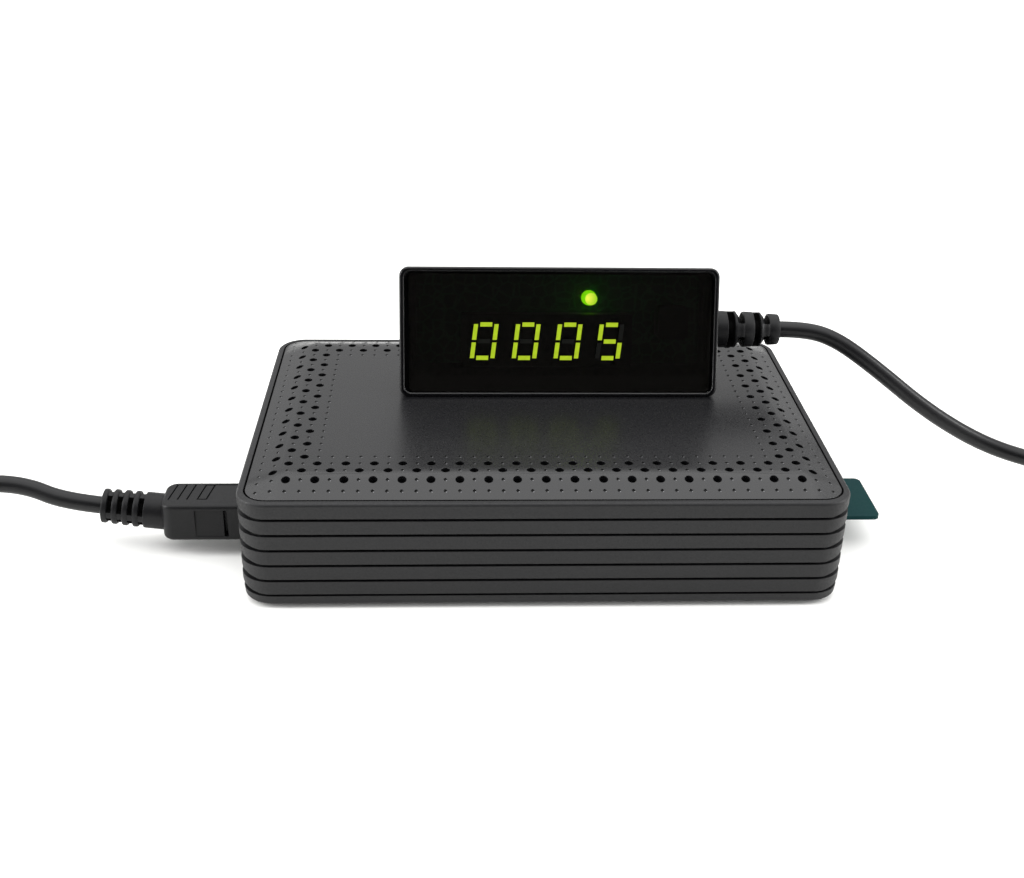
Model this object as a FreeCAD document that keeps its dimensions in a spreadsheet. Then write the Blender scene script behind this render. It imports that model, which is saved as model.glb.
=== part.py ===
import FreeCAD, Part
import math
import os
import Sketcher
from FreeCAD import Placement, Rotation, Vector

# Satellite receiver with its plug-in display unit, in millimetres.
# +X is the card side, -X the plug side, +Y the port side, +Z up. The origin lies on the
# surface the receiver stands on, under the middle of the casing.

sizes = {
    # casing
    "case_length": 107.0,
    "case_width": 72.0,
    "case_height": 20.1,
    "case_corner": 5.5,
    "case_wall": 1.8,
    "case_floor": 1.4,
    "case_round": 1.6,
    "rim_width": 1.2,
    "rim_depth": 2.0,
    "rim_round": 0.6,
    "foot_height": 1.2,
    "foot_radius": 4.0,
    "foot_inset": 10.0,
    # grooves round the three plain sides
    "groove_count": 6,
    "groove_pitch": 3.05,
    "groove_height": 0.5,
    "groove_depth": 0.9,
    "groove_drop": 3.4,
    "groove_fade": 10.0,
    # cover
    "cover_gap": 0.35,
    "cover_skin": 1.6,
    "cover_skirt": 1.4,
    "crown_rise": 2.0,
    "crown_width": 5.9,
    "crown_corner": 1.6,
    "crest_round": 2.5,
    "hole_pitch": 2.5,
    "hole_radius": 0.78,
    "hole_margin": 1.9,
    "clip_width": 6.0,
    "clip_thickness": 1.0,
    "clip_drop": 4.0,
    "clip_spread": 28.0,
    "clip_gap": 0.15,
    # main board
    "board_thickness": 1.6,
    "board_margin": 1.2,
    "board_post": 1.0,
    "post_radius": 2.4,
    "screw_radius": 1.1,
    "screw_head": 2.1,
    "screw_cap": 1.3,
    "screw_gap": 0.15,
    "screw_inset": 7.0,
    "screw_back": 3.0,
    "fit_gap": 0.1,
    # processor with its heat sink
    "chip_side": 17.0,
    "chip_height": 1.6,
    "chip_x": 4.0,
    "chip_y": -6.0,
    "sink_side": 24.0,
    "sink_base": 2.0,
    "sink_height": 8.0,
    "sink_fins": 7,
    "sink_fin": 1.2,
    "memory_length": 12.0,
    "memory_width": 8.0,
    "memory_height": 1.1,
    "capacitor_radius": 3.15,
    "capacitor_height": 8.0,
    "inductor_side": 7.0,
    "inductor_height": 4.0,
    "crystal_length": 11.0,
    "crystal_width": 4.6,
    "crystal_height": 3.4,
    # tuner and its threaded socket
    "tuner_length": 23.0,
    "tuner_width": 21.0,
    "tuner_height": 8.4,
    "aerial_x": 36.1,
    "aerial_z": 10.0,
    "aerial_radius": 4.76,
    "aerial_reach": 11.2,
    "aerial_neck": 4.5,
    "aerial_bore": 2.7,
    "aerial_hex": 10.4,
    "aerial_hex_thickness": 1.2,
    "aerial_lip": 0.7,
    "aerial_clearance": 0.15,
    "pin_radius": 0.75,
    "pin_bore": 0.4,
    # picture socket
    "hdmi_x": 14.2,
    "hdmi_width": 15.0,
    "hdmi_height": 5.6,
    "hdmi_lift": 0.9,
    "hdmi_shell": 0.45,
    "hdmi_depth": 11.0,
    "hdmi_tongue_width": 10.2,
    "hdmi_tongue": 0.9,
    "hdmi_step": 1.9,
    "hdmi_taper": 2.0,
    "socket_setback": 0.3,
    # the two upright data sockets
    "usb_x": -1.6,
    "usb_pitch": 10.47,
    "usb_width": 5.6,
    "usb_height": 13.0,
    "usb_lift": 0.9,
    "usb_shell": 0.35,
    "usb_depth": 14.0,
    "usb_setback": 1.7,
    "usb_tongue": 1.8,
    "usb_tongue_height": 10.8,
    "usb_tongue_shift": 1.05,
    # network jack
    "net_x": -25.6,
    "net_width": 15.9,
    "net_height": 13.0,
    "net_depth": 16.0,
    "net_cavity": 12.3,
    "net_cavity_depth": 12.0,
    "net_floor": 2.4,
    "net_roof": 3.7,
    "net_step_width": 7.7,
    "net_step": 1.4,
    "net_latch_width": 6.9,
    "net_latch": 1.9,
    "net_notch_width": 4.3,
    "net_notch": 1.2,
    "net_lamp_width": 3.2,
    "net_lamp_height": 2.0,
    "net_lamp_inset": 0.7,
    "net_lamp_depth": 9.0,
    "net_pins": 8,
    "net_pin_pitch": 1.02,
    "net_pin_width": 0.45,
    # power jack
    "power_x": -40.8,
    "power_width": 9.2,
    "power_height": 11.0,
    "power_depth": 14.0,
    "power_hole": 3.1,
    "power_hole_z": 11.6,
    "power_hole_depth": 10.5,
    "power_pin": 1.0,
    # card and its reader
    "card_y": -8.4,
    "card_width": 15.0,
    "card_length": 25.0,
    "card_thickness": 0.76,
    "card_end": 65.6,
    "card_lift": 0.75,
    "card_corner": 1.2,
    "card_notch": 3.0,
    "card_play": 0.15,
    "reader_depth": 13.6,
    "reader_wall": 1.2,
    "reader_roof": 0.8,
    "contact_pitch": 2.54,
    # socket for the display lead
    "lead_y": -14.0,
    "lead_socket_width": 7.7,
    "lead_socket_height": 3.9,
    "lead_socket_depth": 9.0,
    "lead_socket_wall": 0.35,
    "lead_socket_setback": 0.5,
    "lead_play": 0.1,
    # display unit
    "face_width": 60.8,
    "face_height": 25.3,
    "face_lean": 18.0,
    "face_x": 4.7,
    "face_y": 2.0,
    "unit_depth": 14.0,
    "front_depth": 9.4,
    "unit_corner": 1.8,
    "unit_wall": 1.4,
    "bezel": 0.9,
    "bezel_round": 0.35,
    "window_thickness": 1.2,
    "window_setback": 0.15,
    "window_gap": 0.08,
    "module_width": 33.4,
    "module_height": 10.4,
    "module_depth": 6.2,
    "module_shift": -2.6,
    "module_v": 11.0,
    "digit_pitch": 8.15,
    "digit_width": 4.8,
    "digit_height": 7.3,
    "digit_slant": 0.12,
    "segment_width": 0.82,
    "segment_thickness": 0.12,
    "segment_gap": 0.18,
    "lamp_shift": 5.4,
    "lamp_v": 19.6,
    "lamp_radius": 1.5,
    "lamp_flange": 0.35,
    "eye_inset": 8.0,
    "eye_v": 14.5,
    "eye_width": 6.0,
    "eye_height": 6.6,
    "eye_depth": 4.6,
    "unit_board": 1.2,
    "unit_board_inset": 2.2,
    # sleeve where the lead leaves the display unit
    "sleeve_v": 13.0,
    "sleeve_w": 6.5,
    "sleeve_radius": 3.7,
    "sleeve_length": 13.8,
    # plug
    "plug_width": 9.2,
    "plug_height": 7.5,
    "plug_length": 16.2,
    "plug_round": 2.0,
    "plug_edge": 0.8,
    "plug_stand": 0.5,
    "plug_reach": 7.4,
    "plug_grip": 0.45,
    "plug_grip_length": 5.6,
    "boot_length": 12.3,
    "boot_radius": 3.4,
    "boot_neck": 3.4,
    "boot_core": 2.1,
    "boot_rings": 4,
    "boot_ring": 1.6,
    "boot_ring_gap": 0.55,
    "boot_tilt": 7.0,
    # lead
    "cord_radius": 1.65,
    "coil_x": 93.3,
    "coil_y": -83.0,
    "coil_middle": 18.0,
    "coil_turns_across": 3,
    "tie_width": 6.0,
    "tie_thickness": 0.5,
}

os.makedirs("parts", exist_ok=True)
doc = FreeCAD.newDocument("receiver")
sheet = doc.addObject("Spreadsheet::Sheet", "Sizes")
for row, (name, number) in enumerate(sizes.items(), 1):
    sheet.set(f"A{row}", name)
    sheet.set(f"B{row}", str(number))
    sheet.setAlias(f"B{row}", name)
doc.recompute()


class Size(float):
    """A number that remembers the sheet formula it was worked out with."""

    def __new__(cls, number, formula):
        made = super().__new__(cls, number)
        made.formula = formula
        return made

    def __add__(self, other):
        return Size(float(self) + float(other), f"({self.formula} + {written(other)})")

    def __radd__(self, other):
        return Size(float(other) + float(self), f"({written(other)} + {self.formula})")

    def __sub__(self, other):
        return Size(float(self) - float(other), f"({self.formula} - {written(other)})")

    def __rsub__(self, other):
        return Size(float(other) - float(self), f"({written(other)} - {self.formula})")

    def __mul__(self, other):
        return Size(float(self) * float(other), f"({self.formula} * {written(other)})")

    __rmul__ = __mul__

    def __truediv__(self, other):
        return Size(float(self) / float(other), f"({self.formula} / {written(other)})")

    def __neg__(self):
        return Size(-float(self), f"(0 - {self.formula})")


def written(number):
    return number.formula if isinstance(number, Size) else repr(float(number))


def size(name):
    return Size(sizes[name], f"Sizes.{name}")


def sine(angle):
    return Size(math.sin(math.radians(angle)), f"sin({written(angle)} * 1 deg)")


def cosine(angle):
    return Size(math.cos(math.radians(angle)), f"cos({written(angle)} * 1 deg)")


def bind(thing, path, number):
    thing.setExpression(path, written(number))


def place(thing, at, turn=None):
    """Puts a finished sub-part at a point, bound to the sheet."""
    thing.Placement = Placement(Vector(*[float(c) for c in at]), turn or Rotation())
    for axis, number in zip("xyz", at):
        bind(thing, f"Placement.Base.{axis}", number)


def plane(body, role):
    return next(f for f in body.Origin.OriginFeatures if f.Role == role)


def new_body(label):
    body = doc.addObject("PartDesign::Body", label)
    body.Label = label
    return body


# Outlines: each one is drawn into a sketch, with its places bound to the sheet.


def pin_down(sketch, kind, element, end, number):
    index = sketch.addConstraint(Sketcher.Constraint(kind, -1, 1, element, end, float(number)))
    bind(sketch, f"Constraints[{index}]", number)


def polygon(*points):
    def draw(sketch):
        first = sketch.GeometryCount
        count = len(points)
        for k, point in enumerate(points):
            after = points[(k + 1) % count]
            line = Part.LineSegment(Vector(*map(float, point), 0), Vector(*map(float, after), 0))
            sketch.addGeometry(line)
        for k in range(count):
            join = ("Coincident", first + k, 2, first + (k + 1) % count, 1)
            sketch.addConstraint(Sketcher.Constraint(*join))
        for k, (x, y) in enumerate(points):
            pin_down(sketch, "DistanceX", first + k, 1, x)
            pin_down(sketch, "DistanceY", first + k, 1, y)

    return draw


def rectangle(x0, x1, y0, y1):
    return polygon((x0, y0), (x1, y0), (x1, y1), (x0, y1))


def circle(x, y, radius):
    def draw(sketch):
        k = sketch.addGeometry(Part.Circle(Vector(float(x), float(y), 0), Vector(0, 0, 1), float(radius)))
        pin_down(sketch, "DistanceX", k, 3, x)
        pin_down(sketch, "DistanceY", k, 3, y)
        index = sketch.addConstraint(Sketcher.Constraint("Radius", k, float(radius)))
        bind(sketch, f"Constraints[{index}]", radius)

    return draw


def rounded(x0, x1, y0, y1, radius, far_radius=None):
    """A rectangle with rounded corners. The two corners at y1 may have their own radius."""
    near, far = radius, far_radius or radius
    corners = [
        (x0 + near, y0 + near, near, 180),
        (x1 - near, y0 + near, near, 270),
        (x1 - far, y1 - far, far, 0),
        (x0 + far, y1 - far, far, 90),
    ]

    def draw(sketch):
        first = sketch.GeometryCount
        ends = []
        for x, y, r, start in corners:
            whole = Part.Circle(Vector(float(x), float(y), 0), Vector(0, 0, 1), float(r))
            arc = Part.ArcOfCircle(whole, math.radians(start), math.radians(start + 90))
            sketch.addGeometry(arc)
            ends.append((arc.StartPoint, arc.EndPoint))
        for k in range(4):
            sketch.addGeometry(Part.LineSegment(ends[k][1], ends[(k + 1) % 4][0]))
        for k in range(4):
            arc, line = first + k, first + 4 + k
            sketch.addConstraint(Sketcher.Constraint("Tangent", arc, 2, line, 1))
            sketch.addConstraint(Sketcher.Constraint("Tangent", line, 2, first + (k + 1) % 4, 1))
            upright = "Horizontal" if k % 2 == 0 else "Vertical"
            sketch.addConstraint(Sketcher.Constraint(upright, line))
            index = sketch.addConstraint(Sketcher.Constraint("Radius", arc, float(corners[k][2])))
            bind(sketch, f"Constraints[{index}]", corners[k][2])
        pin_down(sketch, "DistanceX", first + 7, 1, x0)
        pin_down(sketch, "DistanceX", first + 5, 1, x1)
        pin_down(sketch, "DistanceY", first + 4, 1, y0)
        pin_down(sketch, "DistanceY", first + 6, 1, y1)

    return draw


roles = {"XY": "XY_Plane", "XZ": "XZ_Plane", "YZ": "YZ_Plane"}


def sketched(body, name, on, height, *outlines):
    """A sketch on one of the body's own planes, raised along that plane's normal."""
    sketch = body.newObject("Sketcher::SketchObject", name)
    sketch.AttachmentSupport = [(plane(body, roles[on]), "")]
    sketch.MapMode = "FlatFace"
    sketch.AttachmentOffset = Placement(Vector(0, 0, float(height)), Rotation())
    bind(sketch, "AttachmentOffset.Base.z", height)
    for draw in outlines:
        draw(sketch)
    return sketch


def prism(body, name, on, start, end, *outlines):
    """Material from start to end, measured along +Z, +Y or +X."""
    base = -end if on == "XZ" else start
    pad = body.newObject("PartDesign::Pad", name)
    pad.Profile = sketched(body, name + "_outline", on, base, *outlines)
    bind(pad, "Length", end - start)
    return pad


def hollow(body, name, on, start, end, *outlines):
    """Takes away what lies from start to end, measured along +Z, +Y or +X."""
    base = -end if on == "XZ" else start
    pocket = body.newObject("PartDesign::Pocket", name)
    pocket.Profile = sketched(body, name + "_outline", on, base, *outlines)
    pocket.Reversed = True
    bind(pocket, "Length", end - start)
    return pocket


def turned(label, profile, at, towards):
    """A turned piece from (along, radius) points; towards is where its own X axis points."""
    body = new_body(label)
    spin = body.newObject("PartDesign::Revolution", label + "_spin")
    spin.Profile = sketched(body, label + "_profile", "XY", Size(0, "0"), polygon(*profile))
    spin.ReferenceAxis = (spin.Profile[0], ["H_Axis"])
    spin.Angle = 360
    place(body, at, towards)
    return body


along_x = Rotation()
along_y = Rotation(Vector(0, 0, 1), 90)
along_z = Rotation(Vector(0, 1, 0), -90)
back_x = Rotation(Vector(0, 0, 1), 180)


def edges_of(feature, wanted):
    doc.recompute()
    return [f"Edge{k}" for k, edge in enumerate(feature.Shape.Edges, 1) if wanted(edge)]


def soften(body, name, radius, wanted):
    """Rounds the edges of the body's last feature that wanted() picks."""
    last = body.Tip
    picked = edges_of(last, wanted)
    fillet = body.newObject("PartDesign::Fillet", name)
    fillet.Base = (last, picked)
    bind(fillet, "Radius", radius)
    body.Tip = fillet
    return fillet


def repeat(body, name, feature, rows, mirror=None):
    """Copies a feature in rows of (axis, length, count), and over to the other side of a plane."""
    many = body.newObject("PartDesign::MultiTransform", name)
    many.Originals = [feature]
    steps = []
    for axis, length, count in rows:
        row = body.newObject("PartDesign::LinearPattern", f"{name}_{axis.lower()}")
        row.Direction = (plane(body, axis + "_Axis"), [""])
        bind(row, "Length", length)
        row.Occurrences = count
        steps.append(row)
    if mirror:
        other = body.newObject("PartDesign::Mirrored", name + "_other_side")
        other.MirrorPlane = (plane(body, mirror + "_Plane"), [""])
        steps.append(other)
    many.Transformations = steps
    body.Tip = many
    return many


def block(label, x0, x1, y0, y1, z0, z1):
    box = doc.addObject("Part::Box", label)
    for side, low, high in (("Length", x0, x1), ("Width", y0, y1), ("Height", z0, z1)):
        bind(box, side, high - low)
    place(box, (x0, y0, z0))
    return box


def group(label, members):
    together = doc.addObject("Part::Compound", label)
    together.Links = members
    return together


nodes = []


def node(thing, label=None):
    if label:
        thing.Label = label
    nodes.append(thing)
    return thing


# ---- driving places shared by the sub-parts

zero = Size(0, "0")
half_length = size("case_length") / 2
half_width = size("case_width") / 2
case_bottom = size("foot_height")
case_inside = case_bottom + size("case_floor")
rim_top = case_bottom + size("case_height")
ledge_z = rim_top - size("rim_depth")
lid_top = rim_top + size("crown_rise")
board_bottom = case_inside + size("board_post")
board_top = board_bottom + size("board_thickness")
inner_length = half_length - size("case_wall")
inner_width = half_width - size("case_wall")
board_x = inner_length - size("board_margin")
board_y = inner_width - size("board_margin")
cover_length = half_length - size("rim_width") - size("cover_gap")
cover_width = half_width - size("rim_width") - size("cover_gap")
screw_x = inner_length - size("screw_inset")
screw_y = inner_width - size("screw_inset")
screw_places = [
    (-screw_x, -screw_y),
    (screw_x, -screw_y),
    (-screw_x, size("screw_back")),
    (screw_x, size("screw_back")),
]
clip_y = size("clip_spread") / 2

# how far up each socket stands, and where its middle is
hdmi_z = board_top + size("hdmi_lift")
usb_z = board_top + size("usb_lift")
usb_middles = {"left": size("usb_x") - size("usb_pitch"), "right": size("usb_x")}
net_front = half_width - size("socket_setback")
card_z = board_top + size("card_lift")
lead_z = board_top + size("lead_socket_height") / 2


def d_outline(middle, bottom, width, height, step, taper):
    """The picture socket's outline: straight sides above, drawn in below."""
    half = width / 2
    return polygon(
        (middle - half + taper, bottom),
        (middle + half - taper, bottom),
        (middle + half, bottom + step),
        (middle + half, bottom + height),
        (middle - half, bottom + height),
        (middle - half, bottom + step),
    )


def around(middle, half):
    return middle - half, middle + half


def build_lower_case():
    body = new_body("lower_case")
    corner = size("case_corner")
    outer = rounded(-half_length, half_length, -half_width, half_width, corner)
    prism(body, "tub", "XY", case_bottom, rim_top, outer)
    soften(
        body,
        "bottom_round",
        size("case_round"),
        lambda e: abs(e.BoundBox.ZMax - case_bottom) < 0.01,
    )
    soften(
        body,
        "rim_softening",
        size("rim_round"),
        lambda e: e.BoundBox.ZMin > rim_top - 0.01,
    )
    inner = rounded(
        -inner_length, inner_length, -inner_width, inner_width, corner - size("case_wall")
    )
    hollow(body, "inside", "XY", case_inside, rim_top, inner)
    seat = rounded(
        -half_length + size("rim_width"),
        half_length - size("rim_width"),
        -half_width + size("rim_width"),
        half_width - size("rim_width"),
        corner - size("rim_width"),
    )
    hollow(body, "cover_seat", "XY", ledge_z, rim_top, seat)
    # one groove: a band outside the groove's floor, whose wide rear corners let it run out
    # on the flat port side
    groove_z = rim_top - size("groove_drop")
    beyond = size("case_corner")
    band = rounded(
        -half_length - beyond,
        half_length + beyond,
        -half_width - beyond,
        half_width + beyond,
        beyond,
    )
    floor = rounded(
        -half_length + size("groove_depth"),
        half_length - size("groove_depth"),
        -half_width + size("groove_depth"),
        half_width + size("groove_height") / 4,
        corner,
        size("groove_fade"),
    )
    groove = hollow(body, "groove", "XY", groove_z - size("groove_height"), groove_z, band, floor)
    ridges = body.newObject("PartDesign::LinearPattern", "grooves")
    ridges.Originals = [groove]
    ridges.Direction = (plane(body, "Z_Axis"), [""])
    ridges.Reversed = True
    bind(ridges, "Length", size("groove_pitch") * (size("groove_count") - 1))
    bind(ridges, "Occurrences", size("groove_count"))
    body.Tip = ridges
    # posts for the board
    posts = [circle(x, y, size("post_radius")) for x, y in screw_places]
    prism(body, "posts", "XY", case_inside, board_bottom, *posts)
    holes = [circle(x, y, size("screw_radius")) for x, y in screw_places]
    hollow(body, "post_holes", "XY", case_inside, board_bottom, *holes)
    # the port side
    gap = size("fit_gap")
    usb_openings = [
        rectangle(*around(x, size("usb_width") / 2 + gap), board_top + gap, usb_z + size("usb_height") + gap)
        for x in usb_middles.values()
    ]
    net_x = size("net_x")
    power_x = size("power_x")
    hollow(
        body,
        "ports",
        "XZ",
        inner_width,
        half_width,
        circle(size("aerial_x"), size("aerial_z"), size("aerial_neck") + size("aerial_clearance")),
        d_outline(
            size("hdmi_x"),
            hdmi_z - gap,
            size("hdmi_width") + gap * 2,
            size("hdmi_height") + gap * 2,
            size("hdmi_step"),
            size("hdmi_taper"),
        ),
        rectangle(*around(net_x, size("net_width") / 2 + gap), board_top, board_top + size("net_height") + gap),
        rectangle(
            *around(power_x, size("power_width") / 2 + gap), board_top, board_top + size("power_height") + gap
        ),
        *usb_openings,
    )
    # the card slot and the opening for the display plug
    card_half = size("card_width") / 2 + size("card_play")
    hollow(
        body,
        "card_slot",
        "YZ",
        inner_length,
        half_length,
        rectangle(
            *around(size("card_y"), card_half + gap),
            card_z - size("card_play") - gap,
            card_z + size("card_thickness") + size("card_play") + gap,
        ),
    )
    hollow(
        body,
        "plug_opening",
        "YZ",
        -half_length,
        -inner_length,
        rectangle(
            *around(size("lead_y"), size("lead_socket_width") / 2 + gap * 2),
            board_top - gap * 2,
            board_top + size("lead_socket_height") + gap * 2,
        ),
    )
    # catches for the cover's clips
    catch = size("clip_thickness") + size("clip_gap")
    catch_top = ledge_z - size("clip_drop") - size("clip_gap")
    prism(
        body,
        "catches",
        "XY",
        catch_top - catch,
        catch_top,
        rectangle(*around(clip_y, size("clip_width") / 2), -inner_width - gap, -inner_width + catch),
        rectangle(*around(-clip_y, size("clip_width") / 2), -inner_width - gap, -inner_width + catch),
    )
    node(body)


def hole_pattern(body):
    """Through holes in three staggered rings round the cover, quarter by quarter."""
    pitch = size("hole_pitch")
    columns = 2 * int((cover_length - size("hole_margin")) / pitch)
    rows = 2 * int((cover_width - size("hole_margin")) / pitch)

    def seeds(name, *cells):
        places = [(pitch * (c - columns / 2), pitch * (r - rows / 2)) for c, r in cells]
        outlines = [circle(x, y, size("hole_radius")) for x, y in places]
        return hollow(body, name, "XY", ledge_z, lid_top, *outlines)

    step = pitch * 2
    side = rows // 2
    front = columns // 2
    pair = seeds("side_pair", (1, 2), (3, 2))
    repeat(body, "side_pairs", pair, [("Y", step * (side - 2), side - 1)], "YZ")
    single = seeds("side_single", (2, 1))
    repeat(body, "side_singles", single, [("Y", step * (side - 1), side)], "YZ")
    outer = seeds("front_outer", (4, 1), (4, 3))
    repeat(body, "front_outers", outer, [("X", step * (front - 4), front - 3)], "XZ")
    middle = seeds("front_middle", (5, 2))
    repeat(body, "front_middles", middle, [("X", step * (front - 5), front - 4)], "XZ")


def build_top_cover():
    body = new_body("top_cover")
    corner = size("case_corner") - size("rim_width") - size("cover_gap")
    edge = rounded(-cover_length, cover_length, -cover_width, cover_width, corner)
    prism(body, "skirt", "XY", ledge_z, rim_top, edge)
    crown = size("crown_width")
    top = rounded(
        -cover_length + crown,
        cover_length - crown,
        -cover_width + crown,
        cover_width - crown,
        size("crown_corner"),
    )
    loft = body.newObject("PartDesign::AdditiveLoft", "crown")
    loft.Profile = sketched(body, "crown_foot", "XY", rim_top, edge)
    loft.Sections = [sketched(body, "crown_top", "XY", lid_top, top)]
    loft.Ruled = True
    soften(body, "crest", size("crest_round"), lambda e: e.BoundBox.ZMin > lid_top - 0.01)
    # underside: a straight step inside the skirt, then a slope that follows the crown
    skirt = size("cover_skirt")
    under_z = ledge_z + size("clip_gap") * 3
    inner = rounded(
        -cover_length + skirt,
        cover_length - skirt,
        -cover_width + skirt,
        cover_width - skirt,
        corner - skirt,
    )
    hollow(body, "skirt_inside", "XY", ledge_z, under_z, inner)
    deep = crown + skirt
    flat = rounded(
        -cover_length + deep,
        cover_length - deep,
        -cover_width + deep,
        cover_width - deep,
        size("crown_corner"),
    )
    under = body.newObject("PartDesign::SubtractiveLoft", "underside")
    under.Profile = sketched(body, "underside_foot", "XY", under_z, inner)
    under.Sections = [sketched(body, "underside_top", "XY", lid_top - size("cover_skin"), flat)]
    under.Ruled = True
    hole_pattern(body)
    # clips along the front wall, with a hook under each catch
    clip_half = size("clip_width") / 2 - size("clip_gap")
    wall = -inner_width + size("clip_gap")
    tip = ledge_z - size("clip_drop")
    spots = [clip_y, -clip_y]
    stems = [rectangle(*around(x, clip_half), wall, wall + size("clip_thickness")) for x in spots]
    prism(body, "clips", "XY", tip, under_z + size("clip_thickness"), *stems)
    node(body)


def build_feet():
    inset = size("foot_inset")
    feet = []
    for k, (sx, sy) in enumerate(((-1, -1), (1, -1), (-1, 1), (1, 1), (0, 0))):
        foot = doc.addObject("Part::Cylinder", f"foot_{k}")
        bind(foot, "Radius", size("foot_radius"))
        bind(foot, "Height", size("foot_height"))
        place(foot, ((half_length - inset) * sx, (half_width - inset) * sy, zero))
        feet.append(foot)
    node(group("rubber_feet", feet))


def build_main_board():
    body = new_body("main_board")
    corner = rounded(-board_x, board_x, -board_y, board_y, size("crown_corner"))
    prism(body, "board", "XY", board_bottom, board_top, corner)
    holes = [circle(x, y, size("screw_radius") + size("screw_gap")) for x, y in screw_places]
    hollow(body, "screw_holes", "XY", board_bottom, board_top, *holes)
    node(body)


def build_board_screws():
    shank, head = size("screw_radius") - size("screw_gap") / 3, size("screw_head")
    depth = size("board_thickness") + size("board_post") * 0.8
    cap = size("screw_cap")
    screws = []
    for k, (x, y) in enumerate(screw_places):
        profile = [
            (-depth, zero),
            (-depth, shank),
            (zero, shank),
            (zero, head),
            (cap * 0.6, head),
            (cap, head * 0.6),
            (cap, zero),
        ]
        screws.append(turned(f"screw_{k}", profile, (x, y, board_top), along_z))
    node(group("board_screws", screws))


def build_board_parts():
    chip_half, sink_half = size("chip_side") / 2, size("sink_side") / 2
    x, y = size("chip_x"), size("chip_y")
    chip_top = board_top + size("chip_height")
    node(block("main_processor", *around(x, chip_half), *around(y, chip_half), board_top, chip_top))
    sink = new_body("heat_sink")
    sink_top = chip_top + size("sink_height")
    area = rectangle(*around(x, sink_half), *around(y, sink_half))
    prism(sink, "sink_block", "XY", chip_top, sink_top, area)
    fins = size("sink_fins")
    step = (size("sink_side") - size("sink_fin")) / (fins - 1)
    first = x - sink_half + size("sink_fin")
    slot = hollow(
        sink,
        "sink_slot",
        "XY",
        chip_top + size("sink_base"),
        sink_top,
        rectangle(first, first + step - size("sink_fin"), *around(y, sink_half)),
    )
    slots = sink.newObject("PartDesign::LinearPattern", "sink_slots")
    slots.Originals = [slot]
    slots.Direction = (plane(sink, "X_Axis"), [""])
    bind(slots, "Length", step * (fins - 2))
    bind(slots, "Occurrences", fins - 1)
    sink.Tip = slots
    node(sink)

    def resting(label, places, length, width, height):
        made = []
        for k, (px, py) in enumerate(places):
            name = f"{label}_{k}"
            middle_x, middle_y = x + px, y + py
            spans = (*around(middle_x, length / 2), *around(middle_y, width / 2))
            made.append(block(name, *spans, board_top, board_top + height))
        node(group(label, made))

    memory = (size("memory_width"), size("memory_length"), size("memory_height"))
    resting("memory_chips", [(-20, -8), (-20, 8)], *memory)
    side = size("inductor_side")
    resting("power_inductors", [(-42, 16), (-32, -14)], side, side, size("inductor_height"))
    crystal = (size("crystal_length"), size("crystal_width"), size("crystal_height"))
    resting("crystal", [(22, -12)], *crystal)
    cans = []
    radius, height = size("capacitor_radius"), size("capacitor_height")
    bead = radius * 0.08
    for k, (px, py) in enumerate([(-32, 6), (-40, 8), (-34, 16)]):
        profile = [
            (zero, zero),
            (zero, radius),
            (height * 0.18, radius),
            (height * 0.23, radius - bead),
            (height * 0.28, radius),
            (height - bead, radius),
            (height, radius - bead),
            (height, zero),
        ]
        cans.append(turned(f"capacitor_{k}", profile, (x + px, y + py, board_top), along_z))
    node(group("electrolytic_capacitors", cans))


def build_aerial_socket():
    x, z = size("aerial_x"), size("aerial_z")
    radius, bore, neck = size("aerial_radius"), size("aerial_bore"), size("aerial_neck")
    back_y = board_y - size("aerial_neck")
    can_half = size("tuner_length") / 2
    can_y = back_y - size("tuner_width")
    node(
        block("tuner_shield", *around(x, can_half), can_y, back_y, board_top, board_top + size("tuner_height"))
    )
    # barrel: a neck through the wall, a thin hexagon against it, and the threaded length
    front = half_width - back_y + size("aerial_reach")
    face = half_width - back_y
    lip = size("aerial_lip")
    hexagon_thickness = size("aerial_hex_thickness")
    body = turned(
        "f_connector_body",
        [
            (zero, bore),
            (zero, neck),
            (face, neck),
            (face, radius),
            (front - lip, radius),
            (front, radius - lip * 0.8),
            (front, bore + lip * 0.5),
            (front - lip * 0.5, bore),
        ],
        (x, back_y, z),
        along_y,
    )
    across = size("aerial_hex") / 2
    corners = [
        (across / cosine(30) * cosine(60 * k + 30), across / cosine(30) * sine(60 * k + 30)) for k in range(6)
    ]
    prism(
        body,
        "shoulder",
        "YZ",
        face,
        face + hexagon_thickness,
        polygon(*corners),
        circle(zero, zero, (bore + radius) / 2),
    )
    node(body)
    pin_radius, pin_bore = size("pin_radius"), size("pin_bore")
    start = lip * 2
    insulator = [
        (start, pin_radius),
        (start, bore),
        (front - lip, bore),
        (front - lip, pin_radius * 1.6),
        (front - lip * 1.6, pin_radius),
    ]
    node(turned("f_connector_insulator", insulator, (x, back_y, z), along_y))
    contact = [
        (zero, zero),
        (zero, pin_radius),
        (front - lip * 1.8, pin_radius),
        (front - lip * 1.8, pin_bore),
        (front - lip * 8, pin_bore),
        (front - lip * 8, zero),
    ]
    node(turned("f_connector_contact", contact, (x, back_y, z), along_y))


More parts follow.
